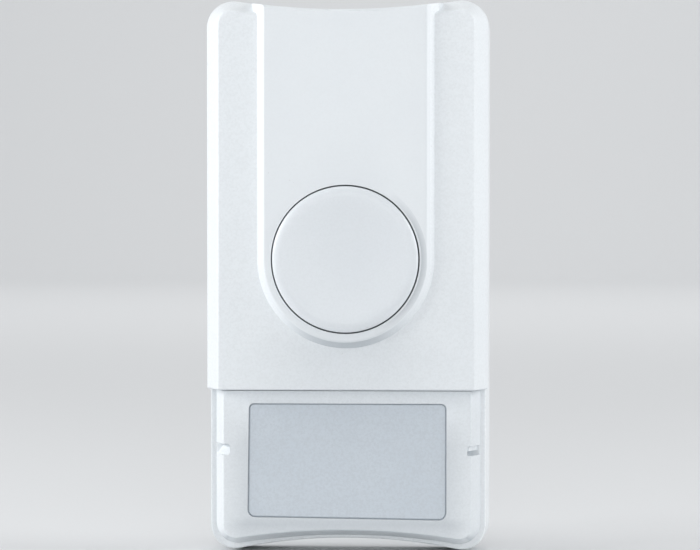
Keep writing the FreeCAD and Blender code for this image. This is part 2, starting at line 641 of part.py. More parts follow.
def guide_plate():
    """Plate behind the button well: spring seat in front, stem bore in the middle, boot rim behind."""
    front = WELL_BACK
    back = front - GUIDE_THICKNESS
    plate = round_bar(GUIDE_RADIUS, back, front, 0, BUTTON_Z)
    ears = []
    for (x, z), angle in zip(ear_places(), GUIDE_EAR_ANGLES):
        arm = block((GUIDE_RADIUS - 2, GUIDE_EAR_REACH), (-GUIDE_EAR_RADIUS, GUIDE_EAR_RADIUS), back, front)
        arm.rotate(Vector(), FRONT, angle)
        arm.translate(point(0, BUTTON_Z))
        ears += [arm, round_bar(GUIDE_EAR_RADIUS, back, front, x, z)]
    rim = ring(GUIDE_RIM_OUTER, GUIDE_RIM_INNER, GUIDE_RIM_BACK, back + GAP, 0, BUTTON_Z)
    plate = joined(plate, rim, *ears)
    seat = ring(SPRING_MEAN_RADIUS + SPRING_SEAT_HALF, SPRING_MEAN_RADIUS - SPRING_SEAT_HALF,
                front - SPRING_SEAT_RECESS, front + 1, 0, BUTTON_Z)
    removed = [seat, round_bar(STEM_RADIUS + STEM_CLEARANCE, back - 1, front + 1, 0, BUTTON_Z)]
    screw_hole = GUIDE_SCREW_RADIUS + HOLE_CLEARANCE
    removed += [round_bar(screw_hole, back - 1, front + 1, x, z) for x, z in ear_places()]
    return plate.cut(removed)


def guide_plate_screws():
    """Three screws from behind the guide plate into the front cover."""
    seat = WELL_BACK - GUIDE_THICKNESS
    return Part.makeCompound([pan_screw(x, z, GUIDE_SCREW_HEAD, GUIDE_SCREW_RADIUS, GUIDE_SCREW_TIP, seat, -1)
                              for x, z in ear_places()])


def wire_coil(radius, wire, length, turns):
    """A coil of round wire that winds up from the origin along Z."""
    path = Part.makeHelix(length / turns, length, radius)
    section = Part.Wire(Part.makeCircle(wire, Vector(radius, 0, 0), Vector(0, 1, 0)))
    return Part.Wire(path.Edges).makePipeShell([section], True, True)


def return_spring():
    """Coil spring between the guide plate and the underside of the button."""
    low = WELL_BACK - SPRING_SEAT_RECESS + SPRING_WIRE / 2
    high = BUTTON_UNDERSIDE - SPRING_WIRE / 2
    coil = wire_coil(SPRING_MEAN_RADIUS, SPRING_WIRE / 2, high - low, SPRING_TURNS)
    coil.rotate(Vector(), RIGHT, 90)
    coil.translate(point(0, BUTTON_Z, low))
    return coil


def switch_boot():
    """Silicone boot: a hub between stem and plunger, a thin skirt, and a bead under the guide plate."""
    top = STEM_TIP - GAP
    bead_front = WELL_BACK - GUIDE_THICKNESS - 0.02
    bead_outer = GUIDE_RIM_INNER - GAP
    inner_bend, outer_bend = BOOT_BENDS
    skin = BOOT_SKIN
    back = [
        (0, BOOT_HUB_BACK),
        (BOOT_HUB_RADIUS - skin, BOOT_HUB_BACK),
        (BOOT_HUB_RADIUS, BOOT_HUB_BACK + skin),
        (inner_bend, BOOT_HUB_BACK + 1.2 * skin),
        (outer_bend, BOOT_BEAD_BACK - skin / 2),
        (BOOT_BEAD_INNER, BOOT_BEAD_BACK),
        (bead_outer, BOOT_BEAD_BACK),
    ]
    front = [
        (bead_outer, bead_front),
        (BOOT_BEAD_INNER, bead_front),
        (BOOT_BEAD_INNER, BOOT_BEAD_BACK + skin),
        (outer_bend, BOOT_BEAD_BACK + skin / 2),
        (inner_bend, BOOT_HUB_BACK + 2.2 * skin),
        (BOOT_HUB_RADIUS, BOOT_HUB_BACK + 2 * skin),
        (BOOT_HUB_RADIUS, top),
        (0, top),
    ]
    return revolved(back + front)


def boot_clip():
    """Ring pressed into the guide plate's rim that holds the boot's bead."""
    return ring(GUIDE_RIM_INNER, CLIP_INNER_RADIUS, GUIDE_RIM_BACK, BOOT_BEAD_BACK, 0, BUTTON_Z)


def circuit_board():
    """Board with four screw holes and clipped lower corners."""
    front = BOARD_BACK + BOARD_THICKNESS
    board = block((-BOARD_HALF_WIDTH, BOARD_HALF_WIDTH), (BOARD_BOTTOM, BOARD_TOP), BOARD_BACK, front)
    corners = [edge for edge in board.Edges if edge.BoundBox.YLength > 1 and edge.BoundBox.ZMax < 0]
    board = board.makeChamfer(BOARD_CHAMFER, corners)
    return board.cut([round_bar(BOARD_SCREW_HOLE, BOARD_BACK - 1, front + 1, x, z) for x, z in BOARD_SCREWS])


def board_screws():
    """Four screws that hold the circuit board on its pillars."""
    seat = BOARD_BACK + BOARD_THICKNESS
    return Part.makeCompound([pan_screw(x, z, BOARD_SCREW_HEAD, BOARD_SCREW_RADIUS, BOARD_SCREW_TIP, seat)
                              for x, z in BOARD_SCREWS])


BOARD_FRONT = BOARD_BACK + BOARD_THICKNESS
SWITCH_FRONT = BOARD_FRONT + SWITCH_BODY_HEIGHT


def switch_square(near, far, half=SWITCH_HALF):
    """A square about the button's axis."""
    return block((-half, half), (BUTTON_Z - half, BUTTON_Z + half), near, far)


def switch_body():
    """Moulded base of the tactile switch, hollow for the dome and the plunger's head."""
    body = switch_square(BOARD_FRONT, SWITCH_FRONT)
    uprights = [edge for edge in body.Edges if edge.BoundBox.YLength > 1]
    body = body.makeFillet(0.4, uprights)
    return body.cut(round_bar(PLUNGER_HEAD_RADIUS + 0.2, BOARD_FRONT + 1.0, SWITCH_FRONT + 1, 0, BUTTON_Z))


def switch_cover_plate():
    """Pressed metal lid with a hole for the plunger and two folded sides."""
    outer = SWITCH_HALF + 0.2
    lid = switch_square(SWITCH_FRONT, SWITCH_FRONT + SWITCH_PLATE, SWITCH_HALF)
    sides = [block((sign * SWITCH_HALF - (sign < 0) * 0.2, sign * SWITCH_HALF + (sign > 0) * 0.2),
                   (BUTTON_Z - 1.5, BUTTON_Z + 1.5), SWITCH_FRONT - 1.6, SWITCH_FRONT + SWITCH_PLATE)
             for sign in (1, -1)]
    hole = round_bar(PLUNGER_RADIUS + PLUNGER_CLEARANCE, SWITCH_FRONT - 1, SWITCH_FRONT + 1, 0, BUTTON_Z)
    edge_limit = switch_square(0, FAR_OUT, outer)
    return joined(lid, *sides).cut(hole).common(edge_limit)


def switch_dome():
    """Thin snap dome on the floor of the switch, under the plunger."""
    floor = BOARD_FRONT + 1.0 + GAP
    outer = (DOME_RADIUS ** 2 + DOME_RISE ** 2) / (2 * DOME_RISE)
    centre = point(0, BUTTON_Z, floor + DOME_RISE - outer)
    shell = Part.makeSphere(outer, centre).cut(Part.makeSphere(outer - DOME_THICKNESS, centre))
    return shell.common(round_bar(DOME_RADIUS, floor, floor + 2, 0, BUTTON_Z))


def switch_plunger():
    """Plunger with a wide head under the lid and a stub in front."""
    head = round_bar(PLUNGER_HEAD_RADIUS, SWITCH_FRONT - 1.0, SWITCH_FRONT - GAP, 0, BUTTON_Z)
    foot = round_bar(0.7, BOARD_FRONT + 1.0 + DOME_RISE + 2 * GAP, SWITCH_FRONT - 0.9, 0, BUTTON_Z)
    stub = round_bar(PLUNGER_RADIUS, SWITCH_FRONT - GAP - 0.1, PLUNGER_TOP, 0, BUTTON_Z)
    stub = stub.makeFillet(0.2, edges_at(stub, PLUNGER_TOP))
    return joined(head, foot, stub)


def switch_terminals():
    """Four bent legs of the switch, soldered to the board."""
    legs = []
    for x_sign in (1, -1):
        for z_sign in (1, -1):
            z = BUTTON_Z + z_sign * 2.25
            x_low, x_high = sorted((x_sign * (SWITCH_HALF + 0.02), x_sign * (SWITCH_HALF + 0.9)))
            foot = block((x_low, x_high), (z - 0.35, z + 0.35), BOARD_FRONT, BOARD_FRONT + 0.2)
            x_low, x_high = sorted((x_sign * (SWITCH_HALF + 0.02), x_sign * (SWITCH_HALF + 0.22)))
            rise = block((x_low, x_high), (z - 0.35, z + 0.35), BOARD_FRONT, BOARD_FRONT + 0.9)
            legs.append(joined(foot, rise))
    return Part.makeCompound(legs)


def leaded_chip(place, size, leads, pitch):
    """A moulded chip with a row of leads on its left and right sides."""
    x, z = place
    width, length, height = size
    body = block((x - width / 2, x + width / 2), (z - length / 2, z + length / 2),
                 BOARD_FRONT + 0.15, BOARD_FRONT + height)
    body = body.makeChamfer(0.12, edges_at(body, BOARD_FRONT + height))
    legs = []
    for sign in (1, -1):
        for index in range(leads):
            lead_z = z + (index - (leads - 1) / 2) * pitch
            side = x + sign * width / 2
            low, high = sorted((side - sign * 0.1, side + sign * 0.95))
            legs.append(block((low, high), (lead_z - 0.2, lead_z + 0.2), BOARD_FRONT, BOARD_FRONT + 0.2))
            low, high = sorted((side - sign * 0.1, side + sign * 0.25))
            legs.append(block((low, high), (lead_z - 0.2, lead_z + 0.2), BOARD_FRONT, BOARD_FRONT + 0.8))
    return joined(body, *legs)


def encoder_chip():
    """Chip that makes the coded signal."""
    return leaded_chip(ENCODER_AT, ENCODER_SIZE, ENCODER_LEADS, ENCODER_PITCH)


def transmitter_chip():
    """Small radio chip."""
    return leaded_chip(RADIO_AT, RADIO_SIZE, RADIO_LEADS, RADIO_PITCH)


def resonator_can():
    """Metal can that sets the radio frequency."""
    can = round_bar(CAN_RADIUS, BOARD_FRONT, BOARD_FRONT + CAN_HEIGHT, *CAN_AT)
    can = can.makeFillet(0.5, edges_at(can, BOARD_FRONT + CAN_HEIGHT))
    return joined(can, round_bar(CAN_FLANGE, BOARD_FRONT, BOARD_FRONT + 0.4, *CAN_AT))


def antenna_coil():
    """Air-wound coil that radiates the signal, with its two legs on the board."""
    depth = BOARD_FRONT + COIL_RADIUS + COIL_WIRE + 3 * GAP
    coil = wire_coil(COIL_RADIUS, COIL_WIRE, COIL_LENGTH, COIL_TURNS)
    coil.rotate(Vector(), Vector(0, 1, 0), 90)
    coil.translate(point(COIL_START, COIL_Z, depth))
    legs = [round_bar(COIL_WIRE, BOARD_FRONT, depth, x, COIL_Z - COIL_RADIUS)
            for x in (COIL_START, COIL_START + COIL_LENGTH)]
    return joined(coil, *legs)


def power_capacitor():
    """Round can capacitor on its moulded foot."""
    x, z = CAPACITOR_AT
    half = CAPACITOR_FOOT
    foot = block((x - half, x + half), (z - half, z + half), BOARD_FRONT, BOARD_FRONT + 0.6)
    foot = foot.makeChamfer(0.8, [edge for edge in foot.Edges if edge.BoundBox.YLength > 0.3
                                  and edge.BoundBox.XMax < x])
    can = round_bar(CAPACITOR_RADIUS, BOARD_FRONT, BOARD_FRONT + CAPACITOR_HEIGHT, x, z)
    return joined(foot, can.makeFillet(0.3, edges_at(can, BOARD_FRONT + CAPACITOR_HEIGHT)))


def chip_blocks(places, size):
    """Small oblong parts on the board, as separate solids."""
    width, length, height = size
    return Part.makeCompound([block((x - width / 2, x + width / 2), (z - length / 2, z + length / 2),
                                    BOARD_FRONT, BOARD_FRONT + height) for x, z in places])


def chip_resistors():
    """Six chip resistors in two rows."""
    return chip_blocks(RESISTOR_PLACES, RESISTOR_SIZE)


def chip_capacitors():
    """Four chip capacitors beside the radio chip."""
    return chip_blocks(CERAMIC_PLACES, CERAMIC_SIZE)


PIN_ZS = (PIN_Z, PIN_Z + PIN_PITCH)
PIN_MIDDLE = PIN_Z + PIN_PITCH / 2


def square_pin(x, z, half, height):
    """A square pin that starts inside the header's base."""
    near = BOARD_FRONT + HEADER_HEIGHT - GAP
    return block((x - half, x + half), (z - half, z + half), near, BOARD_FRONT + height)


def code_header():
    """Pin block with three pairs of pins that set the channel."""
    half_x, half_z = HEADER_HALF
    base = block((-half_x, half_x), (PIN_MIDDLE - half_z, PIN_MIDDLE + half_z), BOARD_FRONT,
                 BOARD_FRONT + HEADER_HEIGHT)
    pins = [square_pin(x, z, PIN_HALF, PIN_HEIGHT) for x in (-PIN_PITCH, 0.0, PIN_PITCH) for z in PIN_ZS]
    return joined(base, *pins)


def code_jumpers():
    """Two caps that bridge pairs of pins."""
    half_x, half_z = JUMPER_HALF
    caps = []
    for x in (-PIN_PITCH, PIN_PITCH):
        cap = block((x - half_x, x + half_x), (PIN_MIDDLE - half_z, PIN_MIDDLE + half_z),
                    BOARD_FRONT + HEADER_HEIGHT + GAP / 2, BOARD_FRONT + JUMPER_HEIGHT)
        caps.append(cap.cut([square_pin(x, z, PIN_HALF + GAP, PIN_HEIGHT + GAP) for z in PIN_ZS]))
    return Part.makeCompound(caps)


def positive_contact_x():
    """Inner face of the positive contact, against the cell's nub."""
    return BATTERY_LEFT + BATTERY_LENGTH + NUB_LENGTH + 0.02


def negative_contact_x():
    """Outer face of the negative contact, beyond the cell's flat end."""
    return BATTERY_LEFT - SPRING_ROOM


def battery_cell():
    """Cylindrical cell with its positive nub on the right."""
    body = across(BATTERY_RADIUS, (BATTERY_LEFT, BATTERY_LEFT + BATTERY_LENGTH), BATTERY_Z, BATTERY_DEPTH)
    rims = [edge for edge in body.Edges if edge.Length > 20 and edge.BoundBox.XLength < 0.01]
    body = body.makeFillet(0.5, rims)
    nub_start = BATTERY_LEFT + BATTERY_LENGTH
    nub = across(NUB_RADIUS, (nub_start - GAP, nub_start + NUB_LENGTH), BATTERY_Z, BATTERY_DEPTH)
    return joined(body, nub)


def upright_contact(x):
    """A contact plate across the cell's end with a strip that runs down to the board."""
    x_range = (x, x + CONTACT_THICKNESS)
    foot = BATTERY_Z - CONTACT_HALF
    plate = block(x_range, (foot, BATTERY_Z + CONTACT_HALF), BACK_WALL + 2 * GAP, CONTACT_HEIGHT)
    strip = block(x_range, (CONTACT_STRIP_END, foot + GAP), BOARD_FRONT, BOARD_FRONT + 2.4)
    return joined(plate, strip)


def battery_contact_positive():
    """Flat contact that touches the cell's nub."""
    return upright_contact(positive_contact_x())


def battery_contact_negative():
    """Flat contact that carries the battery spring."""
    return upright_contact(negative_contact_x())


def battery_spring():
    """Coil between the negative contact and the cell."""
    wire = BATTERY_SPRING_WIRE / 2
    start = negative_contact_x() + CONTACT_THICKNESS + wire
    length = BATTERY_LEFT - wire - GAP - start
    coil = wire_coil(BATTERY_SPRING_RADIUS, wire, length, BATTERY_SPRING_TURNS)
    coil.rotate(Vector(), Vector(0, 1, 0), 90)
    coil.translate(point(start, BATTERY_Z, BATTERY_DEPTH))
    return coil


def pyramid(base, peak):
    """A solid with three base corners and a peak."""
    loops = [base, [base[0], base[1], peak], [base[1], base[2], peak], [base[2], base[0], peak]]
    faces = [Part.Face(Part.makePolygon(loop + loop[:1])) for loop in loops]
    return Part.Solid(Part.Shell(faces))


def left_notch():
    """The cut for the left notch: a slot less the wedge under its sloping floor."""
    slot = block((-FAR_OUT, SCOOP_X), SCOOP_Z, NOTCH_FLOOR, NAME_FACE + 1)
    slot = slot.makeFillet(SCOOP_CORNER_RADIUS, [edge for edge in slot.Edges if edge.BoundBox.YLength > 1
                                                 and edge.BoundBox.XMin > -FAR_OUT + 1])
    low, high = [point(x, z, NOTCH_FLOOR) for x, z in SCOOP_LINE]
    along = (high - low).normalize()
    inward = Vector(along.z, 0, -along.x)
    rise = (point(SCOOP_X, SCOOP_Z[0], NOTCH_FLOOR) - low).dot(inward)
    reach = 3 * rise
    far_corner = (low + high) * 0.5 + inward * reach
    peak = far_corner + FRONT * ((NAME_FACE - NOTCH_FLOOR) * reach / rise)
    return slot.cut(pyramid([low - along * reach, high + along * reach, far_corner], peak))


def right_notch():
    """The cut for the right notch: a narrow deep slot below a shallow step that follows the slope."""
    bottom, middle, top = STEP_Z
    slot = block((STEP_X, FAR_OUT), (bottom, middle), NOTCH_FLOOR, NAME_FACE + 1)
    step = block((STEP_X, FAR_OUT), (middle - GAP, top), NOTCH_FLOOR, NAME_FACE + 1)
    return slot.fuse(step.cut(name_hull(STEP_SINK)))


def notch_backings():
    """Blocks inside the name cover that close the notches towards the hollow."""
    z_range = (SCOOP_Z[0] - NOTCH_BACKING, SCOOP_Z[1] + NOTCH_BACKING)
    inner, outer = -SCOOP_X - NOTCH_BACKING, NAME_HALF_WIDTH - NAME_WALL
    return [block(sorted((sign * inner, sign * outer)), z_range, NAME_FOOT, NAME_UNDERSIDE + GAP)
            for sign in (1, -1)]


def name_hull(sink):
    """The name cover's outer form, sunk below its surface."""
    foot, far = NAME_FOOT_INSET + sink, NAME_FACE_INSET + sink
    return NAME.taper(foot, NAME_FOOT, far, NAME_FACE - sink, NAME_END_STRETCH)


def name_shell():
    """The name cover's sloping sides and face, hollow from behind and open at the top."""
    height = NAME_FACE - NAME_FOOT
    lean = (NAME_FACE_INSET - NAME_FOOT_INSET) / height
    inner = NAME_FOOT_INSET + NAME_WALL
    body = name_hull(0)
    body = body.makeFillet(NAME_EDGE_RADIUS, edges_at(body, NAME_FACE))
    room_height = NAME_UNDERSIDE - NAME_FOOT
    stretch = NAME_END_STRETCH * room_height / height
    room = NAME.taper(inner - lean, NAME_FOOT - 1, inner + lean * room_height, NAME_UNDERSIDE, stretch)
    return body.cut(room).common(below(NAME_TOP))


def name_cover():
    """Lower cover with the window opening, pry notches, four friction posts and four card pegs."""
    opening = window_plate(WINDOW_GAP / 2, WINDOW_CORNER, NAME_UNDERSIDE, NAME_FACE + 1)
    recess = window_plate(WINDOW_FLANGE + WINDOW_PLAY, WINDOW_CORNER + WINDOW_PLAY, NAME_UNDERSIDE - 1,
                          WINDOW_LIP_BACK)
    posts = [round_bar(POST_RADIUS, POST_TIP, NAME_UNDERSIDE + GAP, sign * POST_X, z)
             for sign in (1, -1) for z in POST_ZS]
    peg_tip = RETAINER_BACK - PEG_TIP
    pegs = [round_bar(PEG_RADIUS, peg_tip, NAME_UNDERSIDE + GAP, x, z) for x, z in peg_places()]
    body = joined(name_shell().cut([opening, recess]), *posts, *pegs, *notch_backings())
    return body.cut([left_notch(), right_notch()])


RETAINER_BACK = WINDOW_BACK - CARD_THICKNESS - RETAINER_THICKNESS


def peg_places():
    """Centres of the four pegs that the card retainer is pressed on."""
    return [(sign * PEG_X, WINDOW_Z + reach) for sign in (1, -1) for reach in (PEG_REACH_Z, -PEG_REACH_Z)]


def name_window():
    """Frosted window with a flange behind the name cover."""
    pane = window_plate(-WINDOW_GAP / 2, WINDOW_CORNER - WINDOW_GAP, WINDOW_BACK, WINDOW_FRONT)
    pane = pane.makeFillet(WINDOW_EDGE, edges_at(pane, WINDOW_FRONT))
    return joined(pane, window_plate(WINDOW_FLANGE, WINDOW_CORNER, WINDOW_BACK, WINDOW_LIP_BACK - GAP / 2))


def name_card():
    """Blank card behind the window."""
    return window_plate(-CARD_MARGIN, WINDOW_CORNER - CARD_MARGIN, WINDOW_BACK - CARD_THICKNESS, WINDOW_BACK)


def card_retainer():
    """Plate with four ears, pressed on the pegs, that holds the card and the window in place."""
    front = RETAINER_BACK + RETAINER_THICKNESS
    half_x, half_z = RETAINER_HALF
    plate = block((-half_x, half_x), (WINDOW_Z - half_z, WINDOW_Z + half_z), RETAINER_BACK, front)
    ears = [block((-PEG_X - EAR_HALF, PEG_X + EAR_HALF), (z - EAR_HALF, z + EAR_HALF), RETAINER_BACK, front)
            for z in (WINDOW_Z + PEG_REACH_Z, WINDOW_Z - PEG_REACH_Z)]
    plate = joined(plate, *ears)
    return plate.cut([round_bar(PEG_RADIUS + SCREW_BORE_GAP, RETAINER_BACK - 1, front + 1, x, z)
                      for x, z in peg_places()])


NODES = {
    "rear_housing": rear_housing,
    "housing_gasket": housing_gasket,
    "front_cover": front_cover,
    "cover_screw": cover_screw,
    "push_button": push_button,
    "return_spring": return_spring,
    "guide_plate": guide_plate,
    "guide_plate_screws": guide_plate_screws,
    "switch_boot": switch_boot,
    "boot_clip": boot_clip,
    "circuit_board": circuit_board,
    "board_screws": board_screws,
    "switch_body": switch_body,
    "switch_cover_plate": switch_cover_plate,
    "switch_dome": switch_dome,
    "switch_plunger": switch_plunger,
    "switch_terminals": switch_terminals,
    "encoder_chip": encoder_chip,
    "transmitter_chip": transmitter_chip,
    "resonator_can": resonator_can,
    "antenna_coil": antenna_coil,
    "power_capacitor": power_capacitor,
    "chip_resistors": chip_resistors,
    "chip_capacitors": chip_capacitors,
    "code_header": code_header,
    "code_jumpers": code_jumpers,
    "battery_cell": battery_cell,
    "battery_contact_positive": battery_contact_positive,
    "battery_contact_negative": battery_contact_negative,
    "battery_spring": battery_spring,
    "name_cover": name_cover,
    "name_window": name_window,
    "name_card": name_card,
    "card_retainer": card_retainer,
}

os.makedirs("parts", exist_ok=True)
for node, build in NODES.items():
    shape = build()
    shape.exportStep("parts/" + node + ".step")
    solids = len(shape.Solids)
    print(f"{node}: {solids} solid(s), {shape.Volume:.2f} mm3, valid {shape.isValid()}")
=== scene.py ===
import logging
import math
from dataclasses import dataclass
from enum import Enum
from typing import Any, Iterable, Mapping, Sequence, Union

import bmesh
import bpy
from bpy.types import Mesh, Object
from mathutils import Matrix, Vector


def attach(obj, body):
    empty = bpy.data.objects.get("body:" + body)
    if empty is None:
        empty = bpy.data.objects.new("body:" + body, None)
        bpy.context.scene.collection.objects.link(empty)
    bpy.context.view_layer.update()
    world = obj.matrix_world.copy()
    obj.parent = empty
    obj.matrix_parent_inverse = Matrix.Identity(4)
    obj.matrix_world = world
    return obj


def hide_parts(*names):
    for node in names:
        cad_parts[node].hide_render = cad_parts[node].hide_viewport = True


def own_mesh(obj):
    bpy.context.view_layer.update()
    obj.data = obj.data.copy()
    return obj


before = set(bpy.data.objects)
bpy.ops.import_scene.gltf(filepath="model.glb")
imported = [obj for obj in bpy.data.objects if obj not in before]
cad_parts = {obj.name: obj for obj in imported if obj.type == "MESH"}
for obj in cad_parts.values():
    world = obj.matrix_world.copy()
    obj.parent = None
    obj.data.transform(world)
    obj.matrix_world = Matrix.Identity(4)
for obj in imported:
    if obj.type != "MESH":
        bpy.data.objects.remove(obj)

LOG = logging.getLogger("bell_push")
MM = 0.001
SOFT_EDGE = 0.05
PLAIN_CREASE, SLAB_CREASE, WIRE_CREASE = 32.0, 50.0, 60.0
Colour = tuple[float, float, float]
Place = tuple[float, float, float]
Corner = tuple[float, float, float]
Point = tuple[float, float]
Spot = tuple[float, float, float, float]


class Signal:
    """A shader socket that takes part in Python arithmetic."""

    def __init__(self, graph: "Graph", socket: bpy.types.NodeSocket) -> None:
        """Keep the socket and the graph that owns it."""
        self.graph = graph
        self.socket = socket

    def _math(self, operation: str, first: "Operand", second: "Operand") -> "Signal":
        """Add one Math node and return its result."""
        return self.graph.make("ShaderNodeMath", {"operation": operation}, {0: first, 1: second})

    def __add__(self, other: "Operand") -> "Signal":
        """Sum."""
        return self._math("ADD", self, other)

    def __sub__(self, other: "Operand") -> "Signal":
        """Difference."""
        return self._math("SUBTRACT", self, other)

    def __rsub__(self, other: "Operand") -> "Signal":
        """Difference from a number."""
        return self._math("SUBTRACT", other, self)

    def __mul__(self, other: "Operand") -> "Signal":
        """Product."""
        return self._math("MULTIPLY", self, other)

    def __truediv__(self, other: "Operand") -> "Signal":
        """Quotient."""
        return self._math("DIVIDE", self, other)

    def __lt__(self, other: "Operand") -> "Signal":
        """1 where this is the smaller, otherwise 0."""
        return self._math("LESS_THAN", self, other)

    def __gt__(self, other: "Operand") -> "Signal":
        """1 where this is the larger, otherwise 0."""
        return self._math("GREATER_THAN", self, other)

    def __abs__(self) -> "Signal":
        """Size without its sign."""
        return self._math("ABSOLUTE", self, 0.0)

    __radd__ = __add__
    __rmul__ = __mul__


Operand = Union[Signal, float]
Axes = tuple[Signal, Signal, Signal]


class Graph:
    """The nodes of one material or node group."""

    def __init__(self, tree: bpy.types.NodeTree) -> None:
        """Start on an emptied tree."""
        self.tree = tree
        tree.nodes.clear()

    def make(self, kind: str, settings: Mapping[str, Any] | None = None,
             inputs: Mapping[Union[int, str], Any] | None = None, output: Union[int, str] = 0) -> Signal:
        """Add a node.

        Args:
            kind: Blender's name for the node's type.
            settings: Properties that are set first.
            inputs: Values or signals by socket name or number.
            output: The socket to return.

        Returns:
            The chosen output.
        """
        node = self.tree.nodes.new(kind)
        for name, value in (settings or {}).items():
            setattr(node, name, value)
        for key, value in (inputs or {}).items():
            if isinstance(value, Signal):
                self.tree.links.new(value.socket, node.inputs[key])
            else:
                node.inputs[key].default_value = value
        return Signal(self, node.outputs[output]) if node.outputs else Signal(self, None)

    def place(self) -> Signal:
        """The point on the object, in metres."""
        return self.make("ShaderNodeTexCoord", None, None, "Object")

    def parts(self, vector: Signal) -> Axes:
        """A vector's three numbers."""
        split = self.make("ShaderNodeSeparateXYZ", None, {0: vector})
        return tuple(Signal(self, socket) for socket in split.socket.node.outputs)

    def spot(self) -> Axes:
        """The point on the object in millimetres: to the right, into the wall and up."""
        return self.parts(self.make("ShaderNodeVectorMath", {"operation": "SCALE"},
                                    {0: self.place(), "Scale": 1 / MM}))

    def stretch(self, vector: Signal, scale: Place) -> Signal:
        """Scale a pattern's coordinates."""
        return self.make("ShaderNodeMapping", None, {"Vector": vector, "Scale": scale})

    def noise(self, vector: Signal, size_mm: float, detail: float, roughness: float) -> Signal:
        """Soft noise whose features are about size_mm across, from 0 to 1."""
        return self.make("ShaderNodeTexNoise", {"noise_dimensions": "3D"}, {
            "Vector": vector, "Scale": 1 / (size_mm * MM), "Detail": detail, "Roughness": roughness})

    def cells(self, vector: Signal, size_mm: float) -> Signal:
        """Distance to the nearest of scattered points."""
        return self.make("ShaderNodeTexVoronoi", {"feature": "F1"},
                         {"Vector": vector, "Scale": 1 / (size_mm * MM)}, "Distance")

    def distance(self, first: Signal, second: Signal) -> Signal:
        """Length of a step along two square directions."""
        step = self.make("ShaderNodeCombineXYZ", None, {0: first, 1: second, 2: 0.0})
        return self.make("ShaderNodeVectorMath", {"operation": "LENGTH"}, {0: step}, "Value")

    def spread(self, value: Signal, low: float, high: float, out_low: float = 0.0,
               out_high: float = 1.0) -> Signal:
        """Stretch low..high to out_low..out_high and clamp."""
        return self.make("ShaderNodeMapRange", {"clamp": True}, {
            "Value": value, "From Min": low, "From Max": high, "To Min": out_low, "To Max": out_high})

    def step(self, value: Signal, edge: float, soft: float = SOFT_EDGE) -> Signal:
        """0 below an edge and 1 above it."""
        return self.spread(value, edge - soft, edge + soft)

    def above_zero(self, value: Signal) -> Signal:
        """The value, or 0 where it is negative."""
        return self.make("ShaderNodeMath", {"operation": "MAXIMUM"}, {0: value, 1: 0.0})

    def blend(self, share: Operand, low: Union[Signal, Colour], high: Union[Signal, Colour]) -> Signal:
        """Mix two colours."""
        pair = [value if isinstance(value, Signal) else (*value, 1.0) for value in (low, high)]
        return self.make("ShaderNodeMix", {"data_type": "RGBA"}, {0: share, 6: pair[0], 7: pair[1]}, 2)

    def relief(self, height: Signal, depth_mm: float, under: Signal | None = None) -> Signal:
        """Turn a height from 0 to 1 into a bumped normal, depth_mm deep.

        Args:
            height: The height.
            depth_mm: How deep a height of 1 is.
            under: A normal that it adds to, if any.

        Returns:
            The normal.
        """
        inputs: dict[Union[int, str], Any] = {"Height": height, "Distance": depth_mm * MM, "Strength": 1.0}
        if under is not None:
            inputs["Normal"] = under
        return self.make("ShaderNodeBump", None, inputs)

    def surface(self, **sockets: Any) -> None:
        """Finish the material with one Principled shader.

        Args:
            sockets: Values by the shader's sockets, with _ for a space.
        """
        inputs = {name.replace("_", " "): value for name, value in sockets.items()}
        shader = self.make("ShaderNodeBsdfPrincipled", None, inputs)
        self.make("ShaderNodeOutputMaterial", None, {"Surface": shader})


def add_object(name: str, data: bpy.types.ID | None) -> Object:
    """A new object at the origin, in the scene.

    Args:
        name: Its name.
        data: Its mesh, camera or light.

    Returns:
        The object.
    """
    item = bpy.data.objects.new(name, data)
    bpy.context.collection.objects.link(item)
    return item


def bake(item: Object, modifier: bpy.types.Modifier) -> None:
    """Put what a modifier makes of an object in the modifier's place, as a plain mesh.

    Args:
        item: The object.
        modifier: The modifier, which is used up.
    """
    bpy.context.view_layer.update()
    evaluated = item.evaluated_get(bpy.context.evaluated_depsgraph_get())
    mesh = bpy.data.meshes.new_from_object(evaluated)
    item.modifiers.remove(modifier)
    item.data = mesh
    mesh.name = item.name


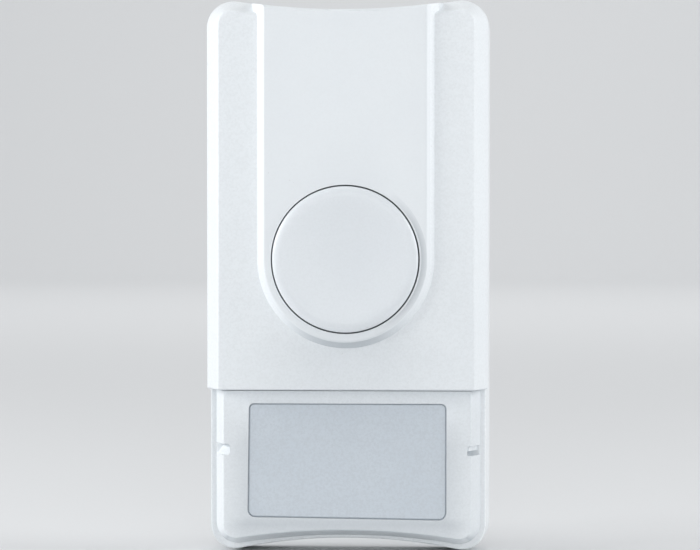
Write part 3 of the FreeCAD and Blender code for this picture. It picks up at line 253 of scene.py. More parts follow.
class Recipe(Graph):
    """A Geometry Nodes tree with named sizes, which ends in a real mesh with one material."""

    KINDS = {float: "NodeSocketFloat", int: "NodeSocketInt", None: "NodeSocketObject"}

    def __init__(self, name: str, sizes: Mapping[str, Union[float, int, None]]) -> None:
        """Start a tree.

        Args:
            name: What the tree is called.
            sizes: Its inputs with their usual values. None stands for an object.
        """
        super().__init__(bpy.data.node_groups.new(name, "GeometryNodeTree"))
        sockets = self.tree.interface
        sockets.new_socket("Seed", in_out="INPUT", socket_type="NodeSocketGeometry")
        for label, value in sizes.items():
            kind = self.KINDS[None if value is None else type(value)]
            socket = sockets.new_socket(label, in_out="INPUT", socket_type=kind)
            if value is not None:
                socket.default_value = value
        sockets.new_socket("Mesh", in_out="OUTPUT", socket_type="NodeSocketGeometry")
        self.entry = self.tree.nodes.new("NodeGroupInput")

    def size(self, label: str) -> Signal:
        """One of the tree's inputs."""
        return Signal(self, self.entry.outputs[label])

    def vector(self, x: Operand, y: Operand, z: Operand) -> Signal:
        """A vector from three numbers."""
        return self.make("ShaderNodeCombineXYZ", None, {0: x, 1: y, 2: z})

    def round(self, radius: Signal, angle: Signal, height: Signal) -> Signal:
        """The place at an angle round the Z axis.

        Args:
            radius: Its distance from the axis.
            angle: The angle in radians.
            height: Its place along the axis.

        Returns:
            The place.
        """
        across, aside = (radius * self.make("ShaderNodeMath", {"operation": wave}, {0: angle})
                         for wave in ("COSINE", "SINE"))
        return self.vector(across, aside, height)

    def close(self, geometry: Signal, finish: "Finish") -> None:
        """End the tree with real mesh in one finish.

        Args:
            geometry: What the tree has made.
            finish: What it is made of.
        """
        real = self.make("GeometryNodeRealizeInstances", None, {0: geometry})
        dressed = self.make("GeometryNodeSetMaterial", None,
                            {"Geometry": real, "Material": finish.material()})
        self.make("NodeGroupOutput", None, {0: dressed})

    def grow(self, name: str, seed: Mesh, **sizes: Any) -> Object:
        """Run the tree once and keep what it makes.

        Args:
            name: The new object's name.
            seed: The mesh that the tree starts from.
            sizes: Values by input, with _ for a space.

        Returns:
            An object with a plain mesh, at the origin.
        """
        item = add_object(name, seed)
        modifier = item.modifiers.new(self.tree.name, "NODES")
        modifier.node_group = self.tree
        wanted = {label.replace("_", " "): value for label, value in sizes.items()}
        for socket in self.tree.interface.items_tree:
            if socket.in_out == "INPUT" and socket.name in wanted:
                modifier[socket.identifier] = wanted.pop(socket.name)
        if wanted:
            raise KeyError(f"{self.tree.name} has no inputs {sorted(wanted)}")
        bake(item, modifier)
        return item


@dataclass(frozen=True)
class Finish:
    """What a piece's surface is made of. Each kind draws its own nodes."""

    name: str

    def draw(self, graph: Graph) -> None:
        """Add the nodes."""
        raise NotImplementedError

    def material(self) -> bpy.types.Material:
        """The finish as a material, made once.

        Returns:
            The material.
        """
        found = bpy.data.materials.get(self.name)
        if found is None:
            found = bpy.data.materials.new(self.name)
            found.use_nodes = True
            self.draw(Graph(found.node_tree))
        return found


@dataclass(frozen=True)
class RoundSeam:
    """The gap round the push button, with painted shade in it, least on its lit left, and a painted shadow of
    the button on the rim to its right. Lengths are in millimetres.
    """

    centre_z: float = 2.8
    inner: float = 10.7
    outer: float = 11.25
    depth: float = 16.1
    soft: float = 0.15
    rim: float = 12.1
    gap_shade_share: float = 0.9
    lit_side_part: float = 0.4
    gap_shade_lean: Point = (0.94, -0.34)
    painted_shade_share: float = 0.44
    shadow_end: float = 0.35
    shadow_lean: Point = (0.99, -0.12)
    shadow_side: Point = (0.45, 0.9)

    def shade_share(self, graph: Graph, spot: Axes) -> Signal:
        """How much painted shade lies in the gap, least on its lit left, and the painted shadow of the button
        on the rim to its right.

        Args:
            graph: The material's nodes.
            spot: The point in millimetres: to the right, into the wall and up.

        Returns:
            A share from 0 to 1.
        """
        across, front, up = spot
        rise = up - self.centre_z
        radius = graph.distance(across, rise)
        ring = graph.spread(radius, self.inner - SOFT_EDGE, self.inner) * (radius < self.outer)
        gap = ring * graph.step(front, -self.depth, self.soft)
        # Painted shade in the gap is least on its lit left; the painted shadow of the button falls on the rim
        # to its right.
        shadow_way, gap_way = ((across * x + rise * z) / radius for x, z in (self.shadow_lean, self.gap_shade_lean))
        share = graph.spread(gap_way, -1.0, 0.0, self.lit_side_part * self.gap_shade_share, self.gap_shade_share)
        rim = graph.spread(radius, self.outer, self.rim, 1.0, self.shadow_end) * (radius < self.rim)
        shade_mask = rim * (1 - gap) * (radius > self.outer) * graph.spread(shadow_way, *self.shadow_side)
        return gap * share + shade_mask * self.painted_shade_share


@dataclass(frozen=True)
class WindowSeam:
    """The gap round the name window, with painted shade in it and painted shade round the window, heaviest at
    its foot and fading upwards. Lengths are in millimetres.
    """

    half_width: float = 14.98
    low: float = -36.4
    high: float = -18.75
    depth: float = 11.1
    reach: float = 4.2
    fade_low: float = -25.25
    fade_high: float = -20.25
    foot: float = 0.6
    gap_shade_share: float = 0.1
    painted_shade_share: float = 0.25
    bottom_shade_share: float = 0.2

    def shade_share(self, graph: Graph, spot: Axes) -> Signal:
        """How much painted shade lies in the gap, and the painted shade that fades out round the window.

        Args:
            graph: The material's nodes.
            spot: The point in millimetres: to the right, into the wall and up.

        Returns:
            A share from 0 to 1.
        """
        across, front, up = spot
        inside = (abs(across) < self.half_width) * (up > self.low) * (up < self.high)
        gap = inside * graph.step(front, -self.depth)
        away = graph.distance(graph.above_zero(abs(across) - self.half_width),
                              graph.above_zero(self.low - up))
        # Painted shade round the window, heaviest at its foot.
        shade_mask = graph.spread(away, 0.0, self.reach, 1.0, 0.0) * (1 - gap)
        shade_mask = shade_mask * graph.spread(up, self.fade_low, self.fade_high, 1.0, 0.0)
        foot = graph.spread(up, self.low - self.foot, self.low + self.foot, self.bottom_shade_share, 0.0)
        return gap * self.gap_shade_share + shade_mask * (foot + self.painted_shade_share)


@dataclass(frozen=True)
class ShadePatch:
    """Painted shade in a soft patch, by default below the push button's raised panel, where that panel would
    shade the cover. In millimetres.
    """

    centre_z: float = -13.5
    spread_x: float = 1.9
    core: float = 3.0
    reach: float = 9.0
    low: float = -16.7
    painted_shade_share: float = 0.13

    def shade_share(self, graph: Graph, spot: Axes) -> Signal:
        """How much painted shade there is, none of it below the front cover's end.

        Args:
            graph: The material's nodes.
            spot: The point in millimetres: to the right, into the wall and up.

        Returns:
            A share from 0 to 1.
        """
        across, _, up = spot
        radius = graph.distance(across / self.spread_x, up - self.centre_z)
        return graph.spread(radius, self.core, self.reach, self.painted_shade_share, 0.0) * (up > self.low)


@dataclass(frozen=True)
class SideShade:
    """Painted shade on one side, by default on the housing's rim left of the name cover. In millimetres."""

    depth: float = 7.6
    painted_shade_share: float = 0.235
    side: float = -1.0
    start: float = 18.0
    end: float = 20.0
    top: float = 50.0

    def shade_share(self, graph: Graph, spot: Axes) -> Signal:
        """How much painted shade there is.

        Args:
            graph: The material's nodes.
            spot: The point in millimetres: to the right, into the wall and up.

        Returns:
            A share from 0 to 1.
        """
        across, front, up = spot
        shade_mask = graph.spread(across * self.side, self.start, self.end, 0.0, self.painted_shade_share)
        return shade_mask * (front < -self.depth) * (up < self.top)


ShadeMark = Union[RoundSeam, WindowSeam, ShadePatch, SideShade]
# The colour that painted shade blends towards.
PAINTED_SHADE = (0.24, 0.28, 0.32)
SPECK = (0.35, 0.34, 0.32)


def paint_shade(graph: Graph, colour: Signal, shade_marks: Iterable[ShadeMark]) -> Signal:
    """Lay the painted shade of some marks over a colour.

    Args:
        graph: The material's nodes.
        colour: The colour without painted shade.
        shade_marks: Where the painted shade lies.

    Returns:
        The colour with its painted shade.
    """
    spot = graph.spot()
    for shade_mark in shade_marks:
        colour = graph.blend(shade_mark.shade_share(graph, spot), colour, PAINTED_SHADE)
    return colour


@dataclass(frozen=True)
class MouldedPlastic(Finish):
    """Moulded plastic with a spark-eroded grain, faint clouding and slow ripples, with painted light towards
    the top of its grained faces and painted shade on its undersides and at its seams and patches.
    """

    tint: Colour
    shade: Colour
    roughness: float = 0.42
    grain_mm: float = 0.42
    grain_depth_mm: float = 0.012
    ripple_depth_mm: float = 0.01
    shade_marks: tuple[ShadeMark, ...] = ()
    smooth_from_mm: float = 15.7
    smooth_share: float = 0.62
    smooth_darkening: float = 0.02
    pale: float = 1.1
    top_light_z_mm: Point = (-12.0, 16.0)
    top_light_share: Point = (0.21, 0.6)
    pits: float = 0.944
    speck_mm: float = 2.6
    speck_share: float = 0.16
    underside: float = 0.0
    shaded_rises: tuple[float, ...] = (-0.88, -0.8, -0.78, -0.42)

    def draw(self, graph: Graph) -> None:
        """Clouded colour with painted light and shade, grained and rippled normal, and roughness that follows
        the grain.

        Args:
            graph: The material's nodes.
        """
        place = graph.place()
        _, front, up = graph.spot()
        cloud = graph.noise(place, 9.0, 3.0, 0.55)
        grain = graph.noise(place, self.grain_mm, 4.0, 0.7)
        ripple = graph.noise(place, 14.0, 1.0, 0.4)
        smooth = front < -self.smooth_from_mm
        coarse = 1 - smooth * self.smooth_share
        pale = tuple(min(1.0, level * self.pale) for level in self.tint)
        # Painted light: the grained faces paler, more so towards the top.
        top_light = coarse * graph.spread(up, *self.top_light_z_mm, *self.top_light_share)
        colour = graph.blend(graph.spread(cloud, 0.3, 0.7), self.tint, self.shade)
        colour = graph.blend(top_light, colour, pale)
        pits = (tuple(level * self.pits for level in paint) for paint in (self.tint, pale))
        # The smooth raised faces a touch darker.
        colour = graph.blend(smooth * self.smooth_darkening, colour, PAINTED_SHADE)
        colour = graph.blend(graph.spread(grain, 0.42, 0.62) * coarse, colour, graph.blend(top_light, *pits))
        specks = graph.spread(graph.cells(place, self.speck_mm), 0.03, 0.055, 1.0, 0.0)
        colour = graph.blend(specks * graph.spread(cloud, 0.45, 0.6) * self.speck_share, colour, SPECK)
        # Painted shade on faces that look downwards.
        if self.underside:
            rise = graph.parts(graph.make("ShaderNodeTexCoord", None, None, "Normal"))[2]
            lowest, low, high, highest = self.shaded_rises
            down = graph.spread(rise, high, highest, 1.0, 0.0)
            down = down * down * self.underside * graph.spread(rise, lowest, low)
            colour = graph.blend(down, colour, PAINTED_SHADE)
        normal = graph.relief(ripple, self.ripple_depth_mm)
        # Painted shade in and round the seams and in the shaded patches.
        graph.surface(Base_Color=paint_shade(graph, colour, self.shade_marks),
                      Roughness=self.roughness + (grain - 0.5) * 0.18 + (cloud - 0.5) * 0.08,
                      Normal=graph.relief(grain * coarse, self.grain_depth_mm, normal))


@dataclass(frozen=True)
class FrostedPane(Finish):
    """Translucent plastic with an etched face."""

    tint: Colour
    shade: Colour
    clarity: float = 0.12
    roughness: float = 0.46
    etch_mm: float = 0.38
    pits: float = 0.925
    shade_marks: tuple[ShadeMark, ...] = ()

    def draw(self, graph: Graph) -> None:
        """A dense milky pane with fine etching.

        Args:
            graph: The material's nodes.
        """
        place = graph.place()
        cloud = graph.noise(place, 6.0, 3.0, 0.5)
        etch = graph.noise(place, self.etch_mm, 4.0, 0.7)
        colour = graph.blend(graph.spread(cloud, 0.3, 0.7), self.tint, self.shade)
        pits = tuple(level * self.pits for level in self.tint)
        colour = graph.blend(graph.spread(etch, 0.42, 0.62), colour, pits)
        # Painted shade in the gap round the window.
        graph.surface(Base_Color=paint_shade(graph, colour, self.shade_marks), IOR=1.49,
                      Roughness=self.roughness + (etch - 0.5) * 0.2, Transmission_Weight=self.clarity,
                      Normal=graph.relief(etch, 0.01))


@dataclass(frozen=True)
class PaperCard(Finish):
    """Blank card with a fibre mat."""

    tint: Colour

    def draw(self, graph: Graph) -> None:
        """Crossed fibres in colour and relief.

        Args:
            graph: The material's nodes.
        """
        place = graph.place()
        fibres = graph.noise(graph.stretch(place, (0.25, 1, 1)), 0.2, 4.0, 0.7)
        across = graph.noise(graph.stretch(place, (1, 1, 0.25)), 0.24, 4.0, 0.7)
        mat = (fibres + across) * 0.5
        paler = tuple(min(1.0, level * 1.06) for level in self.tint)
        graph.surface(Base_Color=graph.blend(graph.spread(mat, 0.35, 0.65), self.tint, paler), Roughness=0.9,
                      Normal=graph.relief(mat, 0.02))


@dataclass(frozen=True)
class Elastomer(Finish):
    """Soft rubber or silicone with a dusty, slightly uneven skin."""

    tint: Colour
    roughness: float = 0.62

    def draw(self, graph: Graph) -> None:
        """Bloom in patches over a finely pebbled skin.

        Args:
            graph: The material's nodes.
        """
        place = graph.place()
        bloom = graph.noise(place, 2.4, 4.0, 0.6)
        pebble = graph.noise(place, 0.18, 2.0, 0.5)
        paler = tuple(level * 0.7 + 0.12 for level in self.tint)
        graph.surface(Base_Color=graph.blend(graph.spread(bloom, 0.45, 0.75), self.tint, paler),
                      Roughness=self.roughness + (bloom - 0.5) * 0.25, Normal=graph.relief(pebble, 0.006))


class Lay(Enum):
    """Which way a metal's working marks run."""

    ALONG_X = (0.04, 1.0, 1.0)
    ALONG_Z = (1.0, 1.0, 0.04)
    EVEN = (1.0, 1.0, 1.0)


@dataclass(frozen=True)
class WorkedMetal(Finish):
    """Plated, drawn or rolled metal with its working marks and a thin haze."""

    tint: Colour
    haze: Colour
    roughness: float = 0.28
    lay: Lay = Lay.EVEN
    mark_mm: float = 0.1
    mark_depth_mm: float = 0.002

    def draw(self, graph: Graph) -> None:
        """Marks in relief, haze in colour and roughness.

        Args:
            graph: The material's nodes.
        """
        place = graph.place()
        marks = graph.noise(graph.stretch(place, self.lay.value), self.mark_mm, 4.0, 0.65)
        patch = graph.spread(graph.noise(place, 1.6, 4.0, 0.6), 0.42, 0.72)
        graph.surface(Base_Color=graph.blend(patch, self.tint, self.haze), Metallic=1.0 - patch * 0.12,
                      Roughness=self.roughness + (marks - 0.5) * 0.2 + patch * 0.14,
                      Normal=graph.relief(marks, self.mark_depth_mm))


@dataclass(frozen=True)
class BoardLacquer(Finish):
    """Green solder lacquer over copper tracks that run square to each other."""

    lacquer: Colour = (0.012, 0.105, 0.04)
    over_copper: Colour = (0.03, 0.2, 0.07)
    edge: Colour = (0.36, 0.33, 0.18)
    front_mm: float = -5.57
    back_mm: float = -4.43
    cell_mm: float = 2.6
    lane: float = 0.11

    def draw(self, graph: Graph) -> None:
        """Tracks by square cells in colour and relief, bare laminate on the cut edges.

        Args:
            graph: The material's nodes.
        """
        place = graph.place()
        front = graph.spot()[1]
        flat = graph.stretch(place, (1.0, 0.0, 1.0))
        cell = graph.make("ShaderNodeTexVoronoi", {"feature": "F1", "distance": "CHEBYCHEV"},
                          {"Vector": flat, "Scale": 1 / (self.cell_mm * MM), "Randomness": 0.75}, "Distance")
        lanes = graph.make("ShaderNodeMath", {"operation": "PINGPONG"}, {0: cell, 1: self.lane})
        track = graph.spread(lanes, 0.052, 0.062)
        rim = (front > self.back_mm) + (front < self.front_mm)
        weave = graph.noise(graph.stretch(place, (1, 1, 6)), 0.5, 2.0, 0.5)
        coat = graph.blend(track, self.lacquer, self.over_copper)
        graph.surface(Base_Color=graph.blend(graph.spread(rim, 0.4, 0.6), self.edge, coat),
                      Roughness=0.3 + weave * 0.2, Normal=graph.relief(track + weave * 0.3, 0.035),
                      Specular_IOR_Level=0.6)


@dataclass(frozen=True)
class CellJacket(Finish):
    """Shrink-wrapped foil jacket of a small cell, in two plain bands along X."""

    body: Colour = (0.02, 0.035, 0.08)
    band: Colour = (0.62, 0.47, 0.2)
    band_from_mm: float = 6.0

    def draw(self, graph: Graph) -> None:
        """Bands in colour and shrink ripples in relief.

        Args:
            graph: The material's nodes.
        """
        share = graph.step(graph.spot()[0], self.band_from_mm)
        ripple = graph.noise(graph.stretch(graph.place(), (0.3, 1, 1)), 1.2, 3.0, 0.5)
        graph.surface(Base_Color=graph.blend(share, self.body, self.band), Metallic=0.55,
                      Roughness=0.3 + (ripple - 0.5) * 0.25, Normal=graph.relief(ripple, 0.02),
                      Coat_Weight=0.4, Coat_Roughness=0.18)


@dataclass(frozen=True)
class ChipMould(Finish):
    """Filled black resin of a chip or switch, matt from its mould."""

    tint: Colour = (0.018, 0.018, 0.02)
    filler: Colour = (0.06, 0.06, 0.065)

    def draw(self, graph: Graph) -> None:
        """Filler grains in colour and relief.

        Args:
            graph: The material's nodes.
        """
        grain = graph.noise(graph.place(), 0.09, 3.0, 0.6)
        graph.surface(Base_Color=graph.blend(graph.spread(grain, 0.5, 0.75), self.tint, self.filler),
                      Roughness=0.55 + (grain - 0.5) * 0.3, Normal=graph.relief(grain, 0.006))


# Painted shade over the push button and the panel round it, least at the sides.
BUTTON_SHADE = ShadePatch(centre_z=6.0, spread_x=0.55, core=4.0, reach=18.0, painted_shade_share=0.055)
# Painted shade on the name cover's right-hand slope.
SLOPE_SHADE = SideShade(depth=8.0, painted_shade_share=0.125, side=1.0, start=18.3, end=18.7, top=-16.95)
# The covers carry painted shade at the button, round the window, below the panel, on the right-hand slope and
# on their undersides.
SATIN_WHITE = MouldedPlastic("satin_white_plastic", (0.825, 0.86, 0.885), (0.81, 0.845, 0.875),
                             grain_mm=0.33, underside=0.37,
                             shade_marks=(RoundSeam(), WindowSeam(), ShadePatch(), BUTTON_SHADE, SLOPE_SHADE))
# Painted shade in the button's gap and over its face.
BUTTON_WHITE = MouldedPlastic("button_white_plastic", (0.785, 0.82, 0.85), (0.77, 0.805, 0.84), 0.38, 0.36,
                              0.01, shade_marks=(RoundSeam(), BUTTON_SHADE), smooth_share=0.35)
# Painted shade on the housing's left ledge.
HOUSING_WHITE = MouldedPlastic("housing_white_plastic", (0.855, 0.885, 0.905), (0.84, 0.87, 0.895), 0.46,
                               grain_depth_mm=0.008, shade_marks=(SideShade(),))
# Painted shade in the gap round the window.
FROSTED = FrostedPane("frosted_window_plastic", (0.705, 0.765, 0.825), (0.685, 0.75, 0.815),
                      shade_marks=(WindowSeam(painted_shade_share=0.0, bottom_shade_share=0.0),))
CARD = PaperCard("blank_card", (0.72, 0.73, 0.73))
NATURAL = MouldedPlastic("natural_plastic", (0.62, 0.60, 0.52), (0.58, 0.56, 0.49), 0.5)
SEAL = Elastomer("dark_seal_rubber", (0.02, 0.022, 0.024))
BOOT = Elastomer("grey_silicone", (0.45, 0.45, 0.43), 0.5)
ZINC = WorkedMetal("zinc_plated_steel", (0.62, 0.63, 0.65), (0.5, 0.5, 0.5))
BRIGHT_WIRE = WorkedMetal("bright_drawn_wire", (0.6, 0.6, 0.61), (0.45, 0.44, 0.42), 0.22, mark_mm=0.05)
NICKEL = WorkedMetal("nickel_plated_strip", (0.68, 0.65, 0.59), (0.55, 0.52, 0.47), 0.24, Lay.ALONG_Z)
DRAWN_CAN = WorkedMetal("drawn_aluminium", (0.77, 0.77, 0.78), (0.6, 0.6, 0.61), 0.26, Lay.ALONG_X)
COPPER = WorkedMetal("bare_copper", (0.74, 0.36, 0.2), (0.45, 0.2, 0.12), 0.24, mark_mm=0.06)
SOLDER = WorkedMetal("solder", (0.66, 0.67, 0.68), (0.52, 0.52, 0.51), 0.3)
GOLD = WorkedMetal("flash_gold", (0.83, 0.62, 0.28), (0.66, 0.48, 0.22), 0.24, mark_mm=0.05)
LACQUER = BoardLacquer("board_lacquer")
RESIN = ChipMould("black_resin")
CERAMIC = MouldedPlastic("tan_ceramic", (0.34, 0.23, 0.14), (0.28, 0.19, 0.12), 0.5)
JACKET = CellJacket("cell_jacket")


class Facing(Enum):
    """The direction that a piece's own Z axis takes in the model."""

    FRONT = ("X", 90.0)
    WALL = ("X", -90.0)
    RIGHT = ("Y", 90.0)

    def turn(self) -> Matrix:
        """The turn as a matrix."""
        axis, degrees = self.value
        return Matrix.Rotation(math.radians(degrees), 4, axis)


def depth(distance_mm: float, x_mm: float = 0.0, z_mm: float = 0.0) -> Place:
    """A place in millimetres from its distance in front of the wall."""
    return (x_mm, -distance_mm, z_mm)


def pour(work: bmesh.types.BMesh, mesh: Mesh, crease: float) -> None:
    """Put an edited mesh back, smooth but for its creases.

    Args:
        work: The edited mesh, which is used up.
        mesh: Where it goes.
        crease: Edges that turn by more degrees than this stay sharp.
    """
    work.to_mesh(mesh)
    work.free()
    mesh.shade_smooth()
    mesh.set_sharp_from_angle(angle=math.radians(crease))


def outwards(mesh: Mesh, crease: float = PLAIN_CREASE) -> None:
    """Merge doubles, turn faces outwards and smooth all but the creases, in degrees.

    Args:
        mesh: The mesh to finish.
        crease: Edges that turn by more degrees than this stay sharp.
    """
    work = bmesh.new()
    work.from_mesh(mesh)
    bmesh.ops.remove_doubles(work, verts=work.verts, dist=1e-4)
    bmesh.ops.recalc_face_normals(work, faces=work.faces)
    pour(work, mesh, crease)


def enlist(item: Object, slot: str, *nodes: str, body: str = "housing", facing: Facing = Facing.FRONT,
           at: Place = (0.0, 0.0, 0.0)) -> None:
    """Put a finished piece in its place, let it ride on a body and hide what it stands for.

    Args:
        item: The piece, in millimetres and round its own Z axis.
        slot: The record's material slot; not used.
        nodes: The CAD nodes that it replaces, if any.
        body: The CAD body that it rides on.
        facing: Where its Z axis points.
        at: Where its origin goes, in millimetres.
    """
    item.data.transform(Matrix.Translation(Vector(at) * MM) @ facing.turn() @ Matrix.Scale(MM, 4))
    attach(item, body)
    if nodes:
        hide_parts(*nodes)
    LOG.info("%s: %d faces on %s", item.name, len(item.data.polygons), body)


def flatten(piece: Object, anchor: Place) -> None:
    """Give a piece its own copy of its mesh; the anchor is a place in millimetres."""
    tuple(level * MM for level in anchor)
    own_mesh(piece)


def cap_curve(radius: float, rise: float) -> float:
    """The radius of the ball whose cap has this radius and rise."""
    return (radius ** 2 + rise ** 2) / (2 * rise)


def arch(radius: float, curve: float, centre: float, steps: int) -> list[Point]:
    """A ball's outline from its top out to a radius.

    Args:
        radius: How far out it goes.
        curve: The ball's radius.
        centre: The height of its centre.
        steps: Points along the way.

    Returns:
        The points, each (radius, height).
    """
    reaches = [radius * step / steps for step in range(steps + 1)]
    return [(reach, centre + math.sqrt(curve ** 2 - reach ** 2)) for reach in reaches]


def line_mesh(points: Iterable[Point]) -> Mesh:
    """A profile as a row of vertices, each (radius, height).

    Args:
        points: The profile's points.

    Returns:
        The mesh.
    """
    mesh = bpy.data.meshes.new("profile")
    mesh.from_pydata([(radius, height, 0.0) for radius, height in points], [], [])
    return mesh


def spots_mesh(spots: Iterable[Spot]) -> Mesh:
    """Places for repeated parts, each (x, y, z, turn in degrees).

    Args:
        spots: The places with their turns.

    Returns:
        The mesh, with the turns in radians.
    """
    rows = list(spots)
    mesh = bpy.data.meshes.new("spots")
    mesh.from_pydata([row[:3] for row in rows], [], [])
    turns = mesh.attributes.new("turn", "FLOAT", "POINT")
    for item, row in zip(turns.data, rows):
        item.value = math.radians(row[3])
    return mesh


def eased(corners: Sequence[Corner], steps: int = 5) -> list[Point]:
    """Round the corners of a turned profile.

    Args:
        corners: (radius, height, rounding) of each corner. No rounding keeps it sharp.
        steps: Points along each round.

    Returns:
        The profile's points, with a pair beside each round that keeps the flats flat.
    """
    points: list[Point] = []
    for index, (radius, height, rounding) in enumerate(corners):
        here = Vector((radius, height))
        if rounding <= 0 or index in (0, len(corners) - 1):
            points.append(tuple(here))
            continue
        before = (Vector(corners[index - 1][:2]) - here).normalized()
        after = (Vector(corners[index + 1][:2]) - here).normalized()
        half = before.angle(after) / 2
        reach = rounding / math.tan(half)
        centre = here + (before + after).normalized() * (rounding / math.sin(half))
        start, stop = here + before * reach, here + after * reach
        guard = min(0.25 * rounding, 0.1)
        points.append(tuple(start + before * guard))
        for step in range(steps + 1):
            arm = (start - centre).slerp(stop - centre, step / steps)
            points.append(tuple(centre + arm.normalized() * rounding))
        points.append(tuple(stop + after * guard))
    return points


def turned_recipe(finish: Finish) -> Recipe:
    """A tree that turns its seed, a profile's row of points, round the Z axis.

    Args:
        finish: What the piece is made of.

    Returns:
        A tree with the number of segments as its input.
    """
    tree = Recipe("turned_" + finish.name, {"Segments": 96})
    profile = tree.size("Seed")
    count = tree.make("GeometryNodeAttributeDomainSize", {"component": "MESH"}, {0: profile}, "Point Count")
    segments = tree.size("Segments")
    grid = tree.make("GeometryNodeMeshGrid", None, {"Vertices X": segments + 1, "Vertices Y": count}, "Mesh")
    index = tree.make("GeometryNodeInputIndex")
    lane = tree.make("ShaderNodeMath", {"operation": "FLOOR"}, {0: (index + 0.5) / count})
    where = tree.make("GeometryNodeInputPosition")
    picked = tree.make("GeometryNodeSampleIndex", {"data_type": "FLOAT_VECTOR", "domain": "POINT"},
                       {"Geometry": profile, "Value": where, "Index": index - lane * count}, "Value")
    radius, height, _ = tree.parts(picked)
    place = tree.round(radius, lane * (2 * math.pi) / segments, height)
    moved = tree.make("GeometryNodeSetPosition", None, {"Geometry": grid, "Position": place})
    merged = tree.make("GeometryNodeMergeByDistance", None, {"Geometry": moved, "Distance": 1e-4})
    tree.close(merged, finish)
    return tree


def coil_recipe(finish: Finish) -> Recipe:
    """A tree, without a seed, that winds round wire along Z. Closed is the flat turns at each end.

    Args:
        finish: What the piece is made of.

    Returns:
        A tree with the coil's sizes as its inputs.
    """
    tree = Recipe("coil_" + finish.name, {"Radius": 4.0, "Wire": 0.25, "Length": 3.0, "Turns": 4.0,
                                          "Closed": 0.5, "Steps": 200, "Sides": 12})
    turns, wire = tree.size("Turns"), tree.size("Wire")
    line = tree.make("GeometryNodeCurvePrimitiveLine", None, {"Start": (0, 0, 0), "End": (0, 0, 1)})
    run = tree.make("GeometryNodeResampleCurve", {"mode": "COUNT"},
                    {"Curve": line, "Count": tree.size("Steps")})
    share = tree.make("GeometryNodeSplineParameter", None, None, "Factor")
    idle = tree.size("Closed") / turns
    climb = tree.make("ShaderNodeMapRange", {"clamp": True, "interpolation_type": "LINEAR"},
                      {"Value": share, "From Min": idle, "From Max": 1 - idle})
    height = wire + climb * (tree.size("Length") - wire * 2)
    place = tree.round(tree.size("Radius"), share * turns * (2 * math.pi), height)
    path = tree.make("GeometryNodeSetPosition", None, {"Geometry": run, "Position": place})
    section = tree.make("GeometryNodeCurvePrimitiveCircle", {"mode": "RADIUS"},
                        {"Resolution": tree.size("Sides"), "Radius": wire})
    tube = tree.make("GeometryNodeCurveToMesh", None,
                     {"Curve": path, "Profile Curve": section, "Fill Caps": True})
    tree.close(tube, finish)
    return tree


def spread_recipe(finish: Finish) -> Recipe:
    """A tree that puts a copy of one part at every spot of its seed, each with its turn about Z.

    Args:
        finish: What the piece is made of.

    Returns:
        A tree with the part as its input.
    """
    tree = Recipe("spread_" + finish.name, {"Part": None})
    part = tree.make("GeometryNodeObjectInfo", {"transform_space": "ORIGINAL"}, {"Object": tree.size("Part")},
                     "Geometry")
    turn = tree.make("GeometryNodeInputNamedAttribute", {"data_type": "FLOAT"}, {"Name": "turn"}, "Attribute")
    points = tree.make("GeometryNodeMeshToPoints", None, {"Mesh": tree.size("Seed")})
    copies = tree.make("GeometryNodeInstanceOnPoints", None,
                       {"Points": points, "Instance": part, "Rotation": tree.vector(0.0, 0.0, turn)})
    tree.close(copies, finish)
    return tree


def turned(name: str, finish: Finish, profile: Iterable[Point], segments: int = 96) -> Object:
    """A turned piece in millimetres, round its own Z axis.

    Args:
        name: The piece's name.
        finish: What it is made of.
        profile: Its outline, each point (radius, height).
        segments: Faces round the axis.

    Returns:
        The piece.
    """
    item = turned_recipe(finish).grow(name, line_mesh(profile), Segments=segments)
    outwards(item.data)
    return item


def wound(name: str, finish: Finish, **sizes: Any) -> Object:
    """A coil in millimetres, along its own Z axis.

    Args:
        name: The piece's name.
        finish: What the wire is made of.
        sizes: The coil's sizes by the names of the tree's inputs.

    Returns:
        The piece.
    """
    item = coil_recipe(finish).grow(name, bpy.data.meshes.new(name + "_seed"), **sizes)
    outwards(item.data, WIRE_CREASE)
    return item


def repeated(name: str, finish: Finish, part: Object, spots: Iterable[Spot]) -> Object:
    """Copies of one part at every spot. The single part is used up.

    Args:
        name: The piece's name.
        finish: What it is made of.
        part: The single part.
        spots: Where the copies go, each with its turn.

    Returns:
        One piece with all the copies.
    """
    item = spread_recipe(finish).grow(name, spots_mesh(spots), Part=part)
    bpy.data.objects.remove(part)
    return item


def oblong(x: float, y: float) -> list[Point]:
    """An outline that reaches as far as x and y from its middle."""
    return [(-x, -y), (x, -y), (x, y), (-x, y)]


def slab(name: str, outline: Sequence[Point], low: float, high: float, rounding: float = 0.0) -> Object:
    """A flat part in millimetres: an outline in X and Y between two heights, with eased edges.

    Args:
        name: The part's name.
        outline: Its corners in X and Y.
        low: Its lower face.
        high: Its upper face.
        rounding: How far its edges are eased, if at all.

    Returns:
        The part.
    """
    work = bmesh.new()
    base = work.faces.new([work.verts.new((x, y, low)) for x, y in outline])
    grown = bmesh.ops.extrude_face_region(work, geom=[base])["geom"]
    top = [item for item in grown if isinstance(item, bmesh.types.BMVert)]
    bmesh.ops.translate(work, vec=(0, 0, high - low), verts=top)
    if rounding:
        bmesh.ops.bevel(work, geom=work.edges[:], offset=rounding, segments=2, profile=0.5, affect="EDGES")
    bmesh.ops.recalc_face_normals(work, faces=work.faces)
    mesh = bpy.data.meshes.new(name)
    pour(work, mesh, SLAB_CREASE)
    return add_object(name, mesh)


def dress(finish: Finish, *nodes: str) -> None:
    """Give CAD nodes one finish.

    Args:
        finish: The finish that they get.
        nodes: Their names.
    """
    for name in nodes:
        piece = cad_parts[name]
        piece.data.materials.clear()
        piece.data.materials.append(finish.material())
        LOG.info("%s: %s", name, finish.name)


